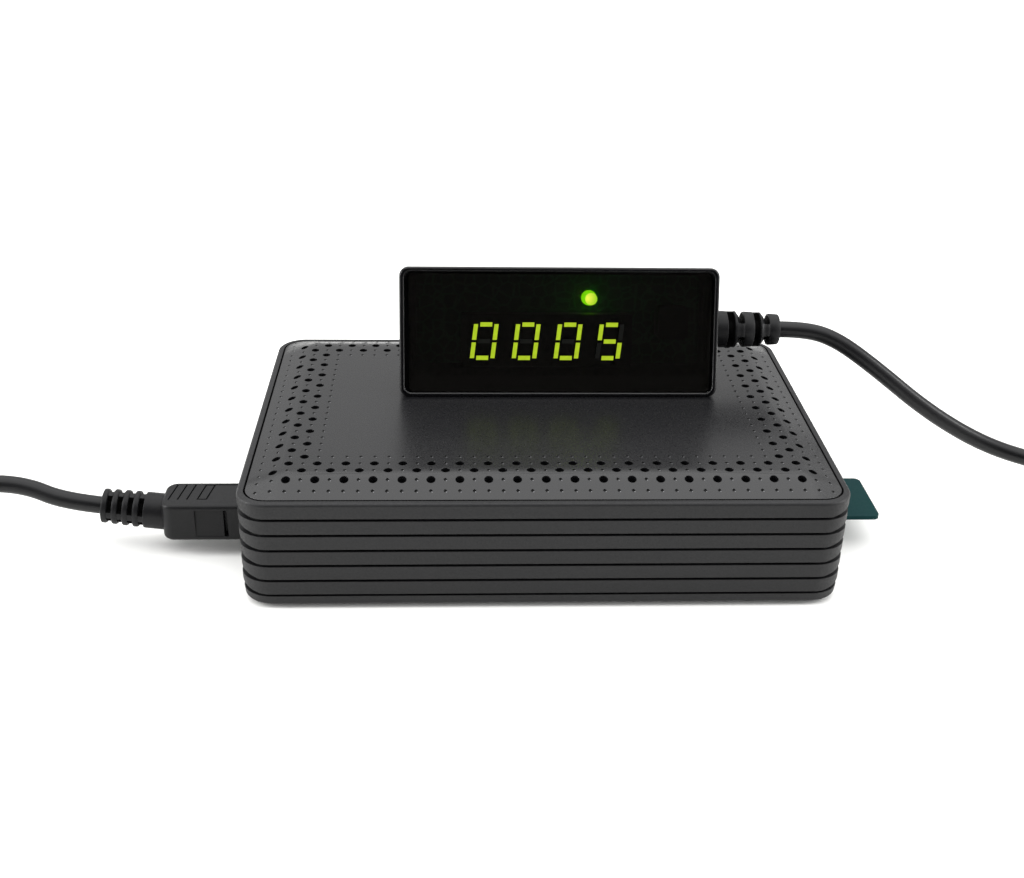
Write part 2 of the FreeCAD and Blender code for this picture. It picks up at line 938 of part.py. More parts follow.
def build_hdmi():
    x, width, height = size("hdmi_x"), size("hdmi_width"), size("hdmi_height")
    step, taper, wall = size("hdmi_step"), size("hdmi_taper"), size("hdmi_shell")
    front = half_width - size("socket_setback")
    back = front - size("hdmi_depth")
    shell = new_body("hdmi_shell")
    outside = d_outline(x, hdmi_z, width, height, step, taper)
    inside = d_outline(x, hdmi_z + wall, width - wall * 2, height - wall * 2, step, taper)
    prism(shell, "sleeve", "XZ", back, front, outside, inside)
    # two tails reach down to the board
    tail = wall * 2
    tail_y = board_y - size("hdmi_depth") / 2
    half = width / 2
    tails = [
        rectangle(x - half, x - half + wall, tail_y, tail_y + tail * 2),
        rectangle(x + half - wall, x + half, tail_y, tail_y + tail * 2),
    ]
    prism(shell, "tails", "XY", board_top, hdmi_z + step + wall, *tails)
    node(shell)
    core = new_body("hdmi_insulator")
    plug_gap = size("fit_gap") / 2
    filled = d_outline(
        x,
        hdmi_z + wall + plug_gap,
        width - (wall + plug_gap) * 2,
        height - (wall + plug_gap) * 2,
        step,
        taper,
    )
    block_depth = size("hdmi_depth") / 4
    prism(core, "back_block", "XZ", back, back + block_depth, filled)
    tongue_half = size("hdmi_tongue_width") / 2
    tongue_z = hdmi_z + height * 0.62
    prism(
        core,
        "tongue",
        "XZ",
        back + block_depth,
        front - size("hdmi_tongue"),
        rectangle(*around(x, tongue_half), tongue_z, tongue_z + size("hdmi_tongue")),
    )
    node(core)


def build_usb(side, x):
    width, height, wall = size("usb_width"), size("usb_height"), size("usb_shell")
    front = half_width - size("usb_setback")
    back = front - size("usb_depth")
    half = width / 2
    shell = new_body(f"usb_shell_{side}")
    outer = rounded(x - half, x + half, usb_z, usb_z + height, wall * 2)
    inner = rounded(x - half + wall, x + half - wall, usb_z + wall, usb_z + height - wall, wall)
    prism(shell, f"can_{side}", "XZ", back, front, outer, inner)
    node(shell)
    # insulator: a block that closes the back, a foot on the board and the tongue
    core = new_body(f"usb_insulator_{side}")
    block_depth = size("usb_depth") / 5
    gap = size("fit_gap") / 2
    filled = rounded(
        x - half + wall + gap, x + half - wall - gap, usb_z + wall + gap, usb_z + height - wall - gap, wall
    )
    prism(core, f"back_block_{side}", "XZ", back, back + block_depth, filled)
    tongue_x = x + size("usb_tongue_shift")
    middle_z = usb_z + height / 2
    prism(
        core,
        f"tongue_{side}",
        "XZ",
        back + block_depth,
        front - wall * 2,
        rectangle(
            *around(tongue_x, size("usb_tongue") / 2), *around(middle_z, size("usb_tongue_height") / 2)
        ),
    )
    prism(
        core,
        f"rear_foot_{side}",
        "XZ",
        back - block_depth,
        back,
        rectangle(*around(x, half), board_top, usb_z + height - wall),
    )
    node(core)


def build_network_jack():
    x, front = size("net_x"), net_front
    back = front - size("net_depth")
    top = board_top + size("net_height")
    body = new_body("ethernet_jack")
    half = size("net_width") / 2
    prism(body, "housing", "XZ", back, front, rectangle(x - half, x + half, board_top, top))
    floor = board_top + size("net_floor")
    roof = top - size("net_roof")
    cavity, step, latch, notch = (
        size(f"net_{part}") / 2 for part in ("cavity", "step_width", "latch_width", "notch_width")
    )
    low = floor - size("net_step")
    mid = roof + size("net_latch")
    high = mid + size("net_notch")
    outline = polygon(
        (x - step, low),
        (x + step, low),
        (x + step, floor),
        (x + cavity, floor),
        (x + cavity, roof),
        (x + latch, roof),
        (x + latch, mid),
        (x + notch, mid),
        (x + notch, high),
        (x - notch, high),
        (x - notch, mid),
        (x - latch, mid),
        (x - latch, roof),
        (x - cavity, roof),
        (x - cavity, floor),
        (x - step, floor),
    )
    cavity_back = front - size("net_cavity_depth")
    hollow(body, "cavity", "XZ", cavity_back, front, outline)
    inset, lamp_w, lamp_h = (size(f"net_lamp_{part}") for part in ("inset", "width", "height"))
    lamp_z0, lamp_z1 = top - inset - lamp_h, top - inset
    lamp_back = front - size("net_lamp_depth")
    spots = {
        "yellow": (x + half - inset - lamp_w, x + half - inset),
        "green": (x - half + inset, x - half + inset + lamp_w),
    }
    wells = [rectangle(x0, x1, lamp_z0, lamp_z1) for x0, x1 in spots.values()]
    hollow(body, "lamp_wells", "XZ", lamp_back, front, *wells)
    node(body)
    gap = size("fit_gap")
    lens = lamp_h / 2 - gap
    for colour, (x0, x1) in spots.items():
        lamp = new_body(f"ethernet_lamp_{colour}")
        outline = rounded(x0 + gap, x1 - gap, lamp_z0 + gap, lamp_z1 - gap, lens * 0.5)
        prism(lamp, f"rod_{colour}", "XZ", lamp_back, front - inset, outline)
        node(lamp)
    # spring contacts: from the back of the cavity down to its floor near the mouth
    pins = new_body("ethernet_contacts")
    pin_half = size("net_pin_width") / 2
    count = size("net_pins")
    start = x - size("net_pin_pitch") * (count - 1) / 2
    thick = size("net_pin_width") * 0.7
    bend_y = front - size("net_cavity_depth") / 4
    side_view = polygon(
        (cavity_back, floor + thick),
        (bend_y, floor - thick),
        (bend_y + thick * 3, low),
        (bend_y + thick * 5, low),
        (bend_y + thick, floor),
        (cavity_back, floor + thick * 2),
    )
    one = prism(pins, "contact", "YZ", start - pin_half, start + pin_half, side_view)
    row = pins.newObject("PartDesign::LinearPattern", "contacts")
    row.Originals = [one]
    row.Direction = (plane(pins, "X_Axis"), [""])
    bind(row, "Length", size("net_pin_pitch") * (count - 1))
    bind(row, "Occurrences", count)
    pins.Tip = row
    node(pins)


def build_power_jack():
    x, front = size("power_x"), half_width - size("socket_setback")
    half = size("power_width") / 2
    body = new_body("dc_jack")
    back = front - size("power_depth")
    prism(
        body, "jack", "XZ", back, front, rectangle(x - half, x + half, board_top, board_top + size("power_height"))
    )
    z = size("power_hole_z")
    bottom = front - size("power_hole_depth")
    hollow(body, "barrel", "XZ", bottom, front, circle(x, z, size("power_hole")))
    node(body)
    pin = size("power_pin")
    length = size("power_hole_depth") - pin
    profile = [(zero, zero), (zero, pin), (length - pin * 0.6, pin), (length, pin * 0.5), (length, zero)]
    node(turned("dc_jack_pin", profile, (x, bottom, z), along_y))


def build_card():
    y, half = size("card_y"), size("card_width") / 2
    play = size("card_play")
    end = size("card_end")
    start = end - size("card_length")
    top = card_z + size("card_thickness")
    card = new_body("smart_card")
    notch = size("card_notch")
    corner = polygon(
        (start, y - half),
        (end, y - half),
        (end, y + half),
        (start + notch, y + half),
        (start, y + half - notch),
    )
    prism(card, "card", "XY", card_z, top, corner)
    soften(
        card,
        "card_corners",
        size("card_corner"),
        lambda e: e.BoundBox.XMin > end - 0.01 and e.BoundBox.ZLength > 0.1,
    )
    node(card)
    # reader: a low frame with a pocket for the card, open towards the wall
    reader = new_body("card_reader")
    wall, roof = size("reader_wall"), size("reader_roof")
    mouth = inner_length - size("fit_gap") * 2
    back = start - wall - play
    frame = rectangle(*around(y, half + play + wall), board_top, top + play + roof)
    prism(reader, "reader", "YZ", back, mouth, frame)
    slot = rectangle(*around(y, half + play), card_z - play, top + play)
    hollow(reader, "reader_slot", "YZ", start - play, mouth, slot)
    node(reader)
    pads = []
    lift = play * 0.8
    pitch = size("contact_pitch")
    for k in range(6):
        px = start + pitch * (1.5 + (k // 3) * 2)
        py = y + pitch * (k % 3 - 1)
        low = card_z - play
        pads.append(block(f"pad_{k}", px, px + pitch * 0.7, *around(py, pitch * 0.25), low, low + lift))
    node(group("card_contacts", pads))


def build_lead_socket():
    y, width, height = size("lead_y"), size("lead_socket_width"), size("lead_socket_height")
    wall = size("lead_socket_wall")
    mouth = -half_length + size("lead_socket_setback")
    end = mouth + size("lead_socket_depth")
    body = new_body("display_socket")
    half = width / 2
    outer = rectangle(*around(y, half), board_top, board_top + height)
    prism(body, "socket", "YZ", mouth, end, outer)
    inner = rectangle(*around(y, half - wall), board_top + wall, board_top + height - wall)
    hollow(body, "socket_inside", "YZ", mouth, end - wall * 2, inner)
    node(body)


def build_plug():
    y = size("lead_y")
    front = -half_length - size("plug_stand")
    back = front - size("plug_length")
    half_y, half_z = size("plug_width") / 2, size("plug_height") / 2
    body = new_body("plug_body")
    rear = size("plug_round")
    outline = rounded(y - half_y, y + half_y, lead_z - half_z, lead_z + half_z, size("plug_edge"))
    prism(body, "grip", "YZ", back, front, outline)
    soften(
        body,
        "grip_corners",
        rear,
        lambda e: abs(e.BoundBox.XMax - back) < 0.01 and e.BoundBox.ZLength > half_z,
    )
    # a shallow thumb recess in both long sides
    dip, length = size("plug_grip"), size("plug_grip_length")
    middle = front - size("plug_length") * 0.36
    spans = around(middle, length / 2)
    hollow(
        body,
        "thumb_dips",
        "XY",
        lead_z - half_z,
        lead_z + half_z,
        rectangle(*spans, y - half_y - dip, y - half_y + dip),
        rectangle(*spans, y + half_y - dip, y + half_y + dip),
    )
    node(body)
    play = size("lead_play")
    wall = size("lead_socket_wall")
    shell_y = size("lead_socket_width") / 2 - wall - play
    shell_z = size("lead_socket_height") / 2 - wall - play
    shell = new_body("plug_shell")
    sheet_metal = wall * 0.8
    outer = rounded(y - shell_y, y + shell_y, lead_z - shell_z, lead_z + shell_z, sheet_metal * 2)
    inner = rounded(
        y - shell_y + sheet_metal,
        y + shell_y - sheet_metal,
        lead_z - shell_z + sheet_metal,
        lead_z + shell_z - sheet_metal,
        sheet_metal,
    )
    prism(shell, "plug_sleeve", "YZ", front, front + size("plug_reach"), outer, inner)
    core = rectangle(
        *around(y, shell_y - sheet_metal * 2), *around(lead_z, shell_z * 0.3)
    )
    prism(shell, "plug_core", "YZ", front, front + sheet_metal, outer)
    prism(shell, "plug_tongue", "YZ", front, front + size("plug_reach") * 0.8, core)
    node(shell)
    # ribbed boot: a neck moulded onto the plug's end, then rings on a thin core
    ring, gap = size("boot_ring"), size("boot_ring_gap")
    radius, core_radius, neck = size("boot_radius"), size("boot_core"), size("boot_neck")
    count = int(size("boot_rings"))
    total = size("boot_length")
    along = total - (ring + gap) * count
    profile = [(-rear * 0.4, zero), (-rear * 0.4, neck), (along, neck)]
    for k in range(count):
        taper = radius * (1 - 0.02 * k)
        start = along + (ring + gap) * k
        profile += [(start, core_radius), (start + gap, core_radius), (start + gap, taper)]
        profile.append((start + gap + ring, taper))
    profile.append((total, zero))
    tilt = Rotation(Vector(0, 1, 0), sizes["boot_tilt"]).multiply(back_x)
    boot = turned("boot", profile, (back, y, lead_z), tilt)
    relief = doc.addObject("Part::Cut", "plug_relief")
    relief.Base = boot
    relief.Tool = body
    node(relief)


lean = size("face_lean")
unit_turn = Rotation(Vector(1, 0, 0), -sizes["face_lean"])
unit_at = (zero, size("face_y"), lid_top)
face_left = size("face_x") - size("face_width") / 2
face_right = size("face_x") + size("face_width") / 2
slope = sine(lean) / cosine(lean)
window_back = size("window_setback") + size("window_thickness")
board_w = window_back + size("module_depth") + size("window_gap") * 2


def unit_piece(label):
    """A body in the display unit's own frame: x across, z up the face, y into the unit."""
    body = new_body(label)
    place(body, unit_at, unit_turn)
    return body


def build_display_front():
    body = unit_piece("display_front")
    height, depth = size("face_height"), size("front_depth")
    side_view = polygon((zero, zero), (depth, depth * slope), (depth, height), (zero, height))
    prism(body, "front_shell", "YZ", face_left, face_right, side_view)
    upright = lambda e: e.BoundBox.XLength < 0.01 and e.BoundBox.YLength > depth - 0.01
    soften(body, "front_corners", size("unit_corner"), upright)
    soften(body, "face_edge", size("bezel_round"), lambda e: e.BoundBox.YMax < 0.01)
    bezel = size("bezel")
    opening = rounded(
        face_left + bezel, face_right - bezel, bezel, height - bezel, size("unit_corner") - bezel / 2
    )
    hollow(body, "window_seat", "XZ", zero, window_back, opening)
    wall = size("unit_wall")
    inside = rounded(
        face_left + wall * 1.5,
        face_right - wall * 1.5,
        depth * slope + wall,
        height - wall,
        size("unit_corner") - bezel,
    )
    hollow(body, "front_inside", "XZ", window_back, depth, inside)
    node(body)


def build_display_back():
    body = unit_piece("display_back")
    height, start, end = size("face_height"), size("front_depth"), size("unit_depth")
    side_view = polygon((start, start * slope), (end, end * slope), (end, height), (start, height))
    prism(body, "back_shell", "YZ", face_left, face_right, side_view)
    upright = lambda e: e.BoundBox.XLength < 0.01 and e.BoundBox.YLength > end - start - 0.01
    soften(body, "back_corners", size("unit_corner"), upright)
    soften(body, "back_edge", size("bezel_round") * 2, lambda e: e.BoundBox.YMin > end - 0.01)
    wall = size("unit_wall")
    inside = rounded(
        face_left + wall * 1.5,
        face_right - wall * 1.5,
        end * slope + wall,
        height - wall,
        size("unit_corner") - size("bezel"),
    )
    hollow(body, "back_inside", "XZ", start, end - wall, inside)
    posts = [circle(size("face_x") + side * size("face_width") * 0.4, height * 0.6, wall) for side in (-1, 1)]
    prism(body, "board_posts", "XZ", board_w + size("unit_board"), end - wall, *posts)
    node(body)


def build_display_inside():
    height = size("face_height")
    gap, bezel = size("window_gap"), size("bezel")
    window = unit_piece("display_window")
    inset = bezel + gap
    outline = rounded(
        face_left + inset, face_right - inset, inset, height - inset, size("unit_corner") - bezel / 2 - gap
    )
    prism(window, "pane", "XZ", size("window_setback"), window_back, outline)
    node(window)
    board = unit_piece("display_board")
    wall = size("unit_wall")
    inset = wall * 1.5 + size("fit_gap")
    low = size("unit_depth") * slope + wall + size("fit_gap")
    corner = size("unit_corner") - bezel
    outline = rounded(face_left + inset, face_right - inset, low, height - wall - size("fit_gap"), corner)
    prism(board, "display_circuit", "XZ", board_w, board_w + size("unit_board"), outline)
    node(board)
    module = unit_piece("digit_module")
    x, v = size("face_x") + size("module_shift"), size("module_v")
    front = window_back + gap * 2
    outline = rectangle(*around(x, size("module_width") / 2), *around(v, size("module_height") / 2))
    prism(module, "module", "XZ", front, board_w, outline)
    node(module)
    eye = unit_piece("ir_receiver")
    x, v = face_right - size("eye_inset"), size("eye_v")
    outline = rounded(
        *around(x, size("eye_width") / 2), *around(v, size("eye_height") / 2), size("eye_width") / 5
    )
    prism(eye, "eye", "XZ", board_w - size("eye_depth"), board_w, outline)
    node(eye)
    radius, flange = size("lamp_radius"), size("lamp_flange")
    tip = board_w - front
    x, v = size("face_x") + size("lamp_shift"), size("lamp_v")
    dome = [(radius * part / 4) for part in (1, 2, 3)]
    profile = [(zero, zero), (zero, radius + flange), (flange * 3, radius + flange), (flange * 3, radius)]
    profile.append((tip - radius, radius))
    for part in dome:
        share = float(part) / float(radius)
        profile.append((tip - radius + part, radius * math.sqrt(1 - share * share)))
    profile.append((tip, zero))
    # the lamp stands on the board and points at the window
    up = size("face_y") + board_w * cosine(lean) + v * sine(lean)
    high = lid_top - board_w * sine(lean) + v * cosine(lean)
    towards = unit_turn.multiply(Rotation(Vector(0, 0, 1), -90))
    node(turned("status_led", profile, (x, up, high), towards))


# which bars of a digit shine: top, upper right, lower right, bottom, lower left, upper left, middle
lit = {"0": "tr ur lr bo ll ul", "5": "tr ul mi lr bo"}


def bars_of_digit(kind, middle):
    """The shining bars of one digit, as flat slanted pieces in the unit's own frame."""
    width, height = sizes["digit_width"] / 2, sizes["digit_height"] / 2
    thick, gap = sizes["segment_width"], sizes["segment_gap"]
    across = [(-width + thick / 2 + gap, 0), (width - thick / 2 - gap, 0)]
    bars = {
        "tr": (across, height - thick / 2),
        "mi": (across, 0),
        "bo": (across, -height + thick / 2),
    }
    rising = {"ur": (width, 1), "lr": (width, -1), "ul": (-width, 1), "ll": (-width, -1)}
    shapes = []
    level = sizes["module_v"]
    for bar in lit[kind].split():
        if bar in bars:
            (left, right), up = bars[bar]
            ends = [
                (left[0], up - thick / 2),
                (right[0], up - thick / 2),
                (right[0], up + thick / 2),
                (left[0], up + thick / 2),
            ]
        else:
            side, half = rising[bar]
            inner = side - math.copysign(thick, side)
            low, high = sorted((half * gap / 2, half * (height - gap / 2)))
            ends = [(inner, low), (side, low), (side, high), (inner, high)]
        corners = [Vector(middle + x + z * sizes["digit_slant"], 0, level + z) for x, z in ends]
        face = Part.Face(Part.makePolygon([*corners, corners[0]]))
        shapes.append(face.extrude(Vector(0, sizes["segment_thickness"], 0)))
    return shapes


def build_digits():
    bars = []
    first = sizes["face_x"] + sizes["module_shift"] - sizes["digit_pitch"] * 1.5
    for k, kind in enumerate("0005"):
        bars += bars_of_digit(kind, first + sizes["digit_pitch"] * k)
    feature = doc.addObject("Part::Feature", "digit_segments")
    shape = Part.makeCompound(bars)
    front = float(window_back + size("window_gap") * 2) - sizes["segment_thickness"]
    shape.translate(Vector(0, front, 0))
    feature.Shape = shape
    feature.Placement = Placement(Vector(*[float(c) for c in unit_at]), unit_turn)
    node(feature)


def sleeve_place():
    v, w = size("sleeve_v"), size("sleeve_w")
    y = size("face_y") + w * cosine(lean) + v * sine(lean)
    z = lid_top - w * sine(lean) + v * cosine(lean)
    return face_right, y, z


def build_display_sleeve():
    radius, length = size("sleeve_radius"), size("sleeve_length")
    core = size("boot_core")
    rings = ((0.0, 0.32, 1.0), (0.37, 0.7, 0.88), (0.8, 1.0, 0.8))
    profile = [(zero, zero)]
    for start, end, share in rings:
        profile += [(length * start, radius * share), (length * end, radius * (share - 0.03))]
        if end < 1:
            profile += [(length * end, core), (length * (end + 0.05 + 0.05 * (end > 0.5)), core)]
    profile.append((length, zero))
    node(turned("display_relief", profile, sleeve_place(), along_x))


def route(name, points):
    """A lead along straight runs joined by tangent arcs, each as large as its runs allow."""
    corners = [Vector(*p) for p in points]
    edges, start = [], corners[0]
    radii = []
    for before, corner, after in zip(corners, corners[1:], corners[2:]):
        back, onward = before - corner, after - corner
        cut = 0.45 * min(back.Length, onward.Length)
        turn = math.pi - back.getAngle(onward)
        radii.append(cut / math.tan(turn / 2))
        back.normalize()
        onward.normalize()
        first, last = corner + back * cut, corner + onward * cut
        inward = back + onward
        inward.normalize()
        middle = corner + inward * (radii[-1] / math.cos(turn / 2) - radii[-1])
        edges.append(Part.LineSegment(start, first).toShape())
        edges.append(Part.Arc(first, middle, last).toShape())
        start = last
    edges.append(Part.LineSegment(start, corners[-1]).toShape())
    path = Part.Wire(edges)
    ahead = corners[1] - corners[0]
    ring = Part.Wire(Part.makeCircle(sizes["cord_radius"], corners[0], ahead))
    tube = path.makePipeShell([ring], True, True)
    feature = doc.addObject("Part::Feature", name)
    feature.Shape = tube
    expected = path.Length * math.pi * sizes["cord_radius"] ** 2
    print(f"{name}: {path.Length:.1f} mm, least radius {min(radii):.1f} mm at point {radii.index(min(radii)) + 1},")
    print(f"  volume {tube.Volume:.1f} against {expected:.1f}, radii {[round(r) for r in radii]}")
    node(feature)


def build_lead():
    radius = sizes["cord_radius"]
    clear = 0.05
    floor = radius + clear
    x, y, z = (float(c) for c in sleeve_place())
    start_x = x + sizes["sleeve_length"]
    coil_x, coil_y, middle = sizes["coil_x"], sizes["coil_y"], sizes["coil_middle"]
    strap = sizes["tie_thickness"]
    coil_floor = clear + strap
    outermost = middle + (sizes["coil_turns_across"] - 1) * radius
    display_side = [
        (start_x, y, z),
        (start_x + 5.5, y, z),
        (60.4, 11.1, 32.2),
        (67.7, 8.5, 27.7),
        (80.3, 5.6, 18.2),
        (93.5, 4.3, 11.0),
        (104.9, -0.2, 9.4),
        (110.9, -8.4, 5.7),
        (112.6, -21.0, 2.4),
        (114.6, -36.0, floor),
        (112.6, -56.0, floor),
        (coil_x + outermost, coil_y + 8, floor + strap),
    ]
    route("cord_run_display", display_side)
    tilt = math.radians(sizes["boot_tilt"])
    boot_y = sizes["lead_y"]
    plug_back = -sizes["case_length"] / 2 - sizes["plug_stand"] - sizes["plug_length"]

    def behind_plug(along):
        return plug_back - along * math.cos(tilt), boot_y, float(lead_z) + along * math.sin(tilt)

    plug_side = [
        behind_plug(sizes["boot_length"]),
        behind_plug(sizes["boot_length"] + 6.2),
        (-95.8, -12.1, 11.8),
        (-104.4, -12.2, 12.4),
        (-112.8, -16.2, 10.6),
        (-118.1, -23.6, 7.4),
        (-119.1, -34.2, 3.4),
        (-115.6, -51.0, floor),
        (-109.2, -69.0, floor),
        (-101.0, -84.2, floor),
        (-87.6, -97.2, floor),
        (-66.5, -104.0, floor),
        (-40.0, -103.0, floor),
        (-12.0, -104.4, floor),
        (15.0, -103.8, floor),
        (41.0, -104.7, floor),
        (64.0, -104.4, floor + strap),
        (81.5, coil_y - middle - radius, floor + strap + 1.9 * radius),
    ]
    route("cord_run_plug", plug_side)
    # the wound length: one ring of the bundle's outer shape, three turns below and two on top
    across = sizes["coil_turns_across"] * radius
    tall = 2 * radius * 1.92
    edge = radius * 0.7
    lower, upper = coil_floor, coil_floor + tall
    top_across = across - radius
    points = [
        (middle - across, lower + edge),
        (middle - across + edge, lower),
        (middle + across - edge, lower),
        (middle + across, lower + edge),
        (middle + across, lower + radius),
        (middle + top_across, upper - edge),
        (middle + top_across - edge, upper),
        (middle - top_across + edge, upper),
        (middle - top_across, upper - edge),
        (middle - across, lower + radius),
    ]

    def section(outline, height):
        return Part.Face(Part.makePolygon([Vector(r, height, h) for r, h in [*outline, outline[0]]]))

    coil = doc.addObject("Part::Feature", "cord_coil")
    coil.Shape = section(points, 0).revolve(Vector(), Vector(0, 0, 1), 360)
    coil.Placement = Placement(Vector(coil_x, coil_y, 0), Rotation())
    node(coil)
    # the tie: a strap all the way round the bundle, under it as well
    half = sizes["tie_width"] / 2
    inside = [
        (middle - across, lower),
        (middle + across, lower),
        (middle + across, lower + radius),
        (middle + top_across, upper),
        (middle - top_across, upper),
        (middle - across, lower + radius),
    ]
    outside = [
        (middle - across - strap, lower - strap),
        (middle + across + strap, lower - strap),
        (middle + across + strap, lower + radius + strap / 2),
        (middle + top_across + strap / 2, upper + strap),
        (middle - top_across - strap / 2, upper + strap),
        (middle - across - strap, lower + radius + strap / 2),
    ]
    along = Vector(0, 2 * half, 0)
    tie = doc.addObject("Part::Feature", "coil_tie")
    tie.Shape = section(outside, -half).extrude(along).cut(section(inside, -half).extrude(along))
    tie.Placement = Placement(Vector(coil_x, coil_y, 0), Rotation(Vector(0, 0, 1), 135))
    node(tie)


build_lower_case()
build_top_cover()
build_feet()
build_main_board()
build_board_screws()
build_board_parts()
build_aerial_socket()
build_hdmi()
for side, x in usb_middles.items():
    build_usb(side, x)
build_network_jack()
build_power_jack()
build_card()
build_lead_socket()
build_plug()
build_display_front()
build_display_back()
build_display_inside()
build_digits()
build_display_sleeve()
build_lead()

doc.recompute()
failed = [o.Name for o in doc.Objects if "Invalid" in o.State or "Error" in o.State]
if failed:
    raise RuntimeError(f"features that didn't build: {failed}")
for thing in nodes:
    shape = thing.Shape
    if shape.isNull() or not shape.isValid() or not shape.Solids:
        raise RuntimeError(f"{thing.Label} has no valid solid")
for thing in nodes:
    thing.Shape.exportStep(f"parts/{thing.Label}.step")
print(len(nodes), "sub-parts")
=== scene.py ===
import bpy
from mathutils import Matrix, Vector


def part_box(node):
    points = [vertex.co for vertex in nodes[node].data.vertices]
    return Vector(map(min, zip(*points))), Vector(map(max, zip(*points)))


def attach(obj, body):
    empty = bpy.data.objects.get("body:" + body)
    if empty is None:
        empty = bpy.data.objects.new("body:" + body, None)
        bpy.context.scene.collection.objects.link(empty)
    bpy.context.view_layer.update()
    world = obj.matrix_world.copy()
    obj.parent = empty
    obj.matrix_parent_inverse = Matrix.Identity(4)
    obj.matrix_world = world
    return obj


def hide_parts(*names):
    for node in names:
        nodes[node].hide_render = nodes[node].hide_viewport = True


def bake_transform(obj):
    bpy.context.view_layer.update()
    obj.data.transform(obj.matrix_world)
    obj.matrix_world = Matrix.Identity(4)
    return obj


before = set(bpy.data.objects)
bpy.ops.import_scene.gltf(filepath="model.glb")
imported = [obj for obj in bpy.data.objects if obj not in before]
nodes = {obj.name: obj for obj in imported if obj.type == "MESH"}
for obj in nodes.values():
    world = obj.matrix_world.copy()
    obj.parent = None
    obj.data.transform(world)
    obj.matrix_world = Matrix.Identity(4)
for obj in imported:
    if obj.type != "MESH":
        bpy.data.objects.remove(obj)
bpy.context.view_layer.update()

from math import atan2, copysign, cos, degrees, exp, floor, hypot, pi, radians, sin, tan

import bmesh
import bpy
from mathutils import Matrix, Vector

scene = bpy.context.scene
mm = 0.001
print("frame loaded:", len(nodes), "nodes")


# the camera looks down on the ridged long side, a little from the card's side
cameraView = {
    "place": (-16.238, -224.872, 131.315),  # mm
    "down": 27.28,  # degrees below level
    "aside": 2.969,  # degrees towards the card side
    "roll": 1.335,
    "lens": 45.206,
    "sensor": 36,
    "clip": (0.01, 30),  # metres
}


def addObject(name, data):
    made = bpy.data.objects.new(name, data)
    scene.collection.objects.link(made)
    return made


def placeCamera():
    down, aside, roll = (radians(cameraView[key]) for key in ("down", "aside", "roll"))
    ahead = Vector((sin(aside) * cos(down), cos(aside) * cos(down), -sin(down)))
    level = Vector((cos(aside), -sin(aside), 0))
    upward = level.cross(ahead)
    right = level * cos(roll) + upward * sin(roll)
    up = upward * cos(roll) - level * sin(roll)
    lens = bpy.data.cameras.new("camera")
    lens.sensor_width = cameraView["sensor"]
    lens.lens = cameraView["lens"]
    lens.clip_start, lens.clip_end = cameraView["clip"]
    scene.camera = addObject("camera", lens)
    turned = Matrix((right, up, -ahead)).transposed().to_4x4()
    scene.camera.matrix_world = Matrix.Translation(Vector(cameraView["place"]) * mm) @ turned


placeCamera()
scene.view_settings.view_transform = "Standard"
print("camera placed")


def linear(hexCode):
    parts = [int(hexCode[k:k + 2], 16) / 255 for k in (1, 3, 5)]
    return [p / 12.92 if p <= 0.04045 else ((p + 0.055) / 1.055) ** 2.4 for p in parts] + [1.0]


# An input is a value, another node's output, or the node itself where its first output is meant
def addNode(tree, kind, inputs=None, **settings):
    node = tree.nodes.new("ShaderNode" + kind)
    for name, value in settings.items():
        setattr(node, name, value)
    for socket, value in (inputs or {}).items():
        if isinstance(value, bpy.types.Node):
            value = next(output for output in value.outputs if output.enabled)
        if isinstance(value, bpy.types.NodeSocket):
            tree.links.new(value, node.inputs[socket])
        else:
            node.inputs[socket].default_value = value
    return node


def newMaterial(name):
    material = bpy.data.materials.new(name)
    material.use_nodes = True
    material.node_tree.nodes.clear()
    return material, material.node_tree


def shine(material, inputs):
    shader = addNode(material.node_tree, "BsdfPrincipled", inputs)
    addNode(material.node_tree, "OutputMaterial", {"Surface": shader})
    return material


usualLook = {"edge": 0.12, "strength": 0.2, "depth": 0.01, "metallic": 0.0, "specular": 0.5, "more": {}}
# the part of a noise that is spread over a finish's roughness
grainSpan = {"From Min": 0.35, "From Max": 0.65}


# A moulded or turned surface: two tones that drift slowly, a fine grain in the relief, soft edges.
# Sizes are in mm.
def surfaceOf(name, dark, light, roughness, **given):
    look = {**usualLook, **given}
    material, tree = newMaterial(name)
    point = addNode(tree, "TexCoord").outputs["Object"]
    if "stretch" in look:
        point = addNode(tree, "Mapping", {"Vector": point, "Scale": look["stretch"]})
    drift = addNode(tree, "TexNoise", {"Vector": point, "Scale": 1 / (look["drift"] * mm), "Detail": 2.0})
    grain = addNode(tree, "TexNoise", {"Vector": point, "Scale": 1 / (look["grain"] * mm), "Detail": 4.0})
    tone = addNode(tree, "Mix", {0: drift, 6: linear(dark), 7: linear(light)}, data_type="RGBA")
    low, high = roughness
    gloss = addNode(tree, "MapRange", {"Value": grain, **grainSpan, "To Min": low, "To Max": high})
    soft = addNode(tree, "Bevel", {"Radius": look["edge"] * mm}, samples=4)
    relief = addNode(tree, "Bump", {
        "Height": grain, "Strength": look["strength"], "Distance": look["depth"] * mm, "Normal": soft,
    })
    return shine(material, {
        "Base Color": tone, "Roughness": gloss, "Normal": relief, "Metallic": look["metallic"],
        "Specular IOR Level": look["specular"], **look["more"],
    })


# ABS moulded against a spark-eroded tool: an even matt grain of about a third of a millimetre
caseAbs = surfaceOf(
    "sparkErodedAbs", "#0c0c0e", "#111113", (0.46, 0.6), drift=22, grain=0.34, strength=0.5, depth=0.03,
    specular=0.38,
)
# the plug's softer PVC, moulded against a finer tool
leadPvc = surfaceOf(
    "satinPvc", "#08080a", "#0c0c0e", (0.4, 0.52), drift=14, grain=0.22, strength=0.35, depth=0.02,
    specular=0.24,
)
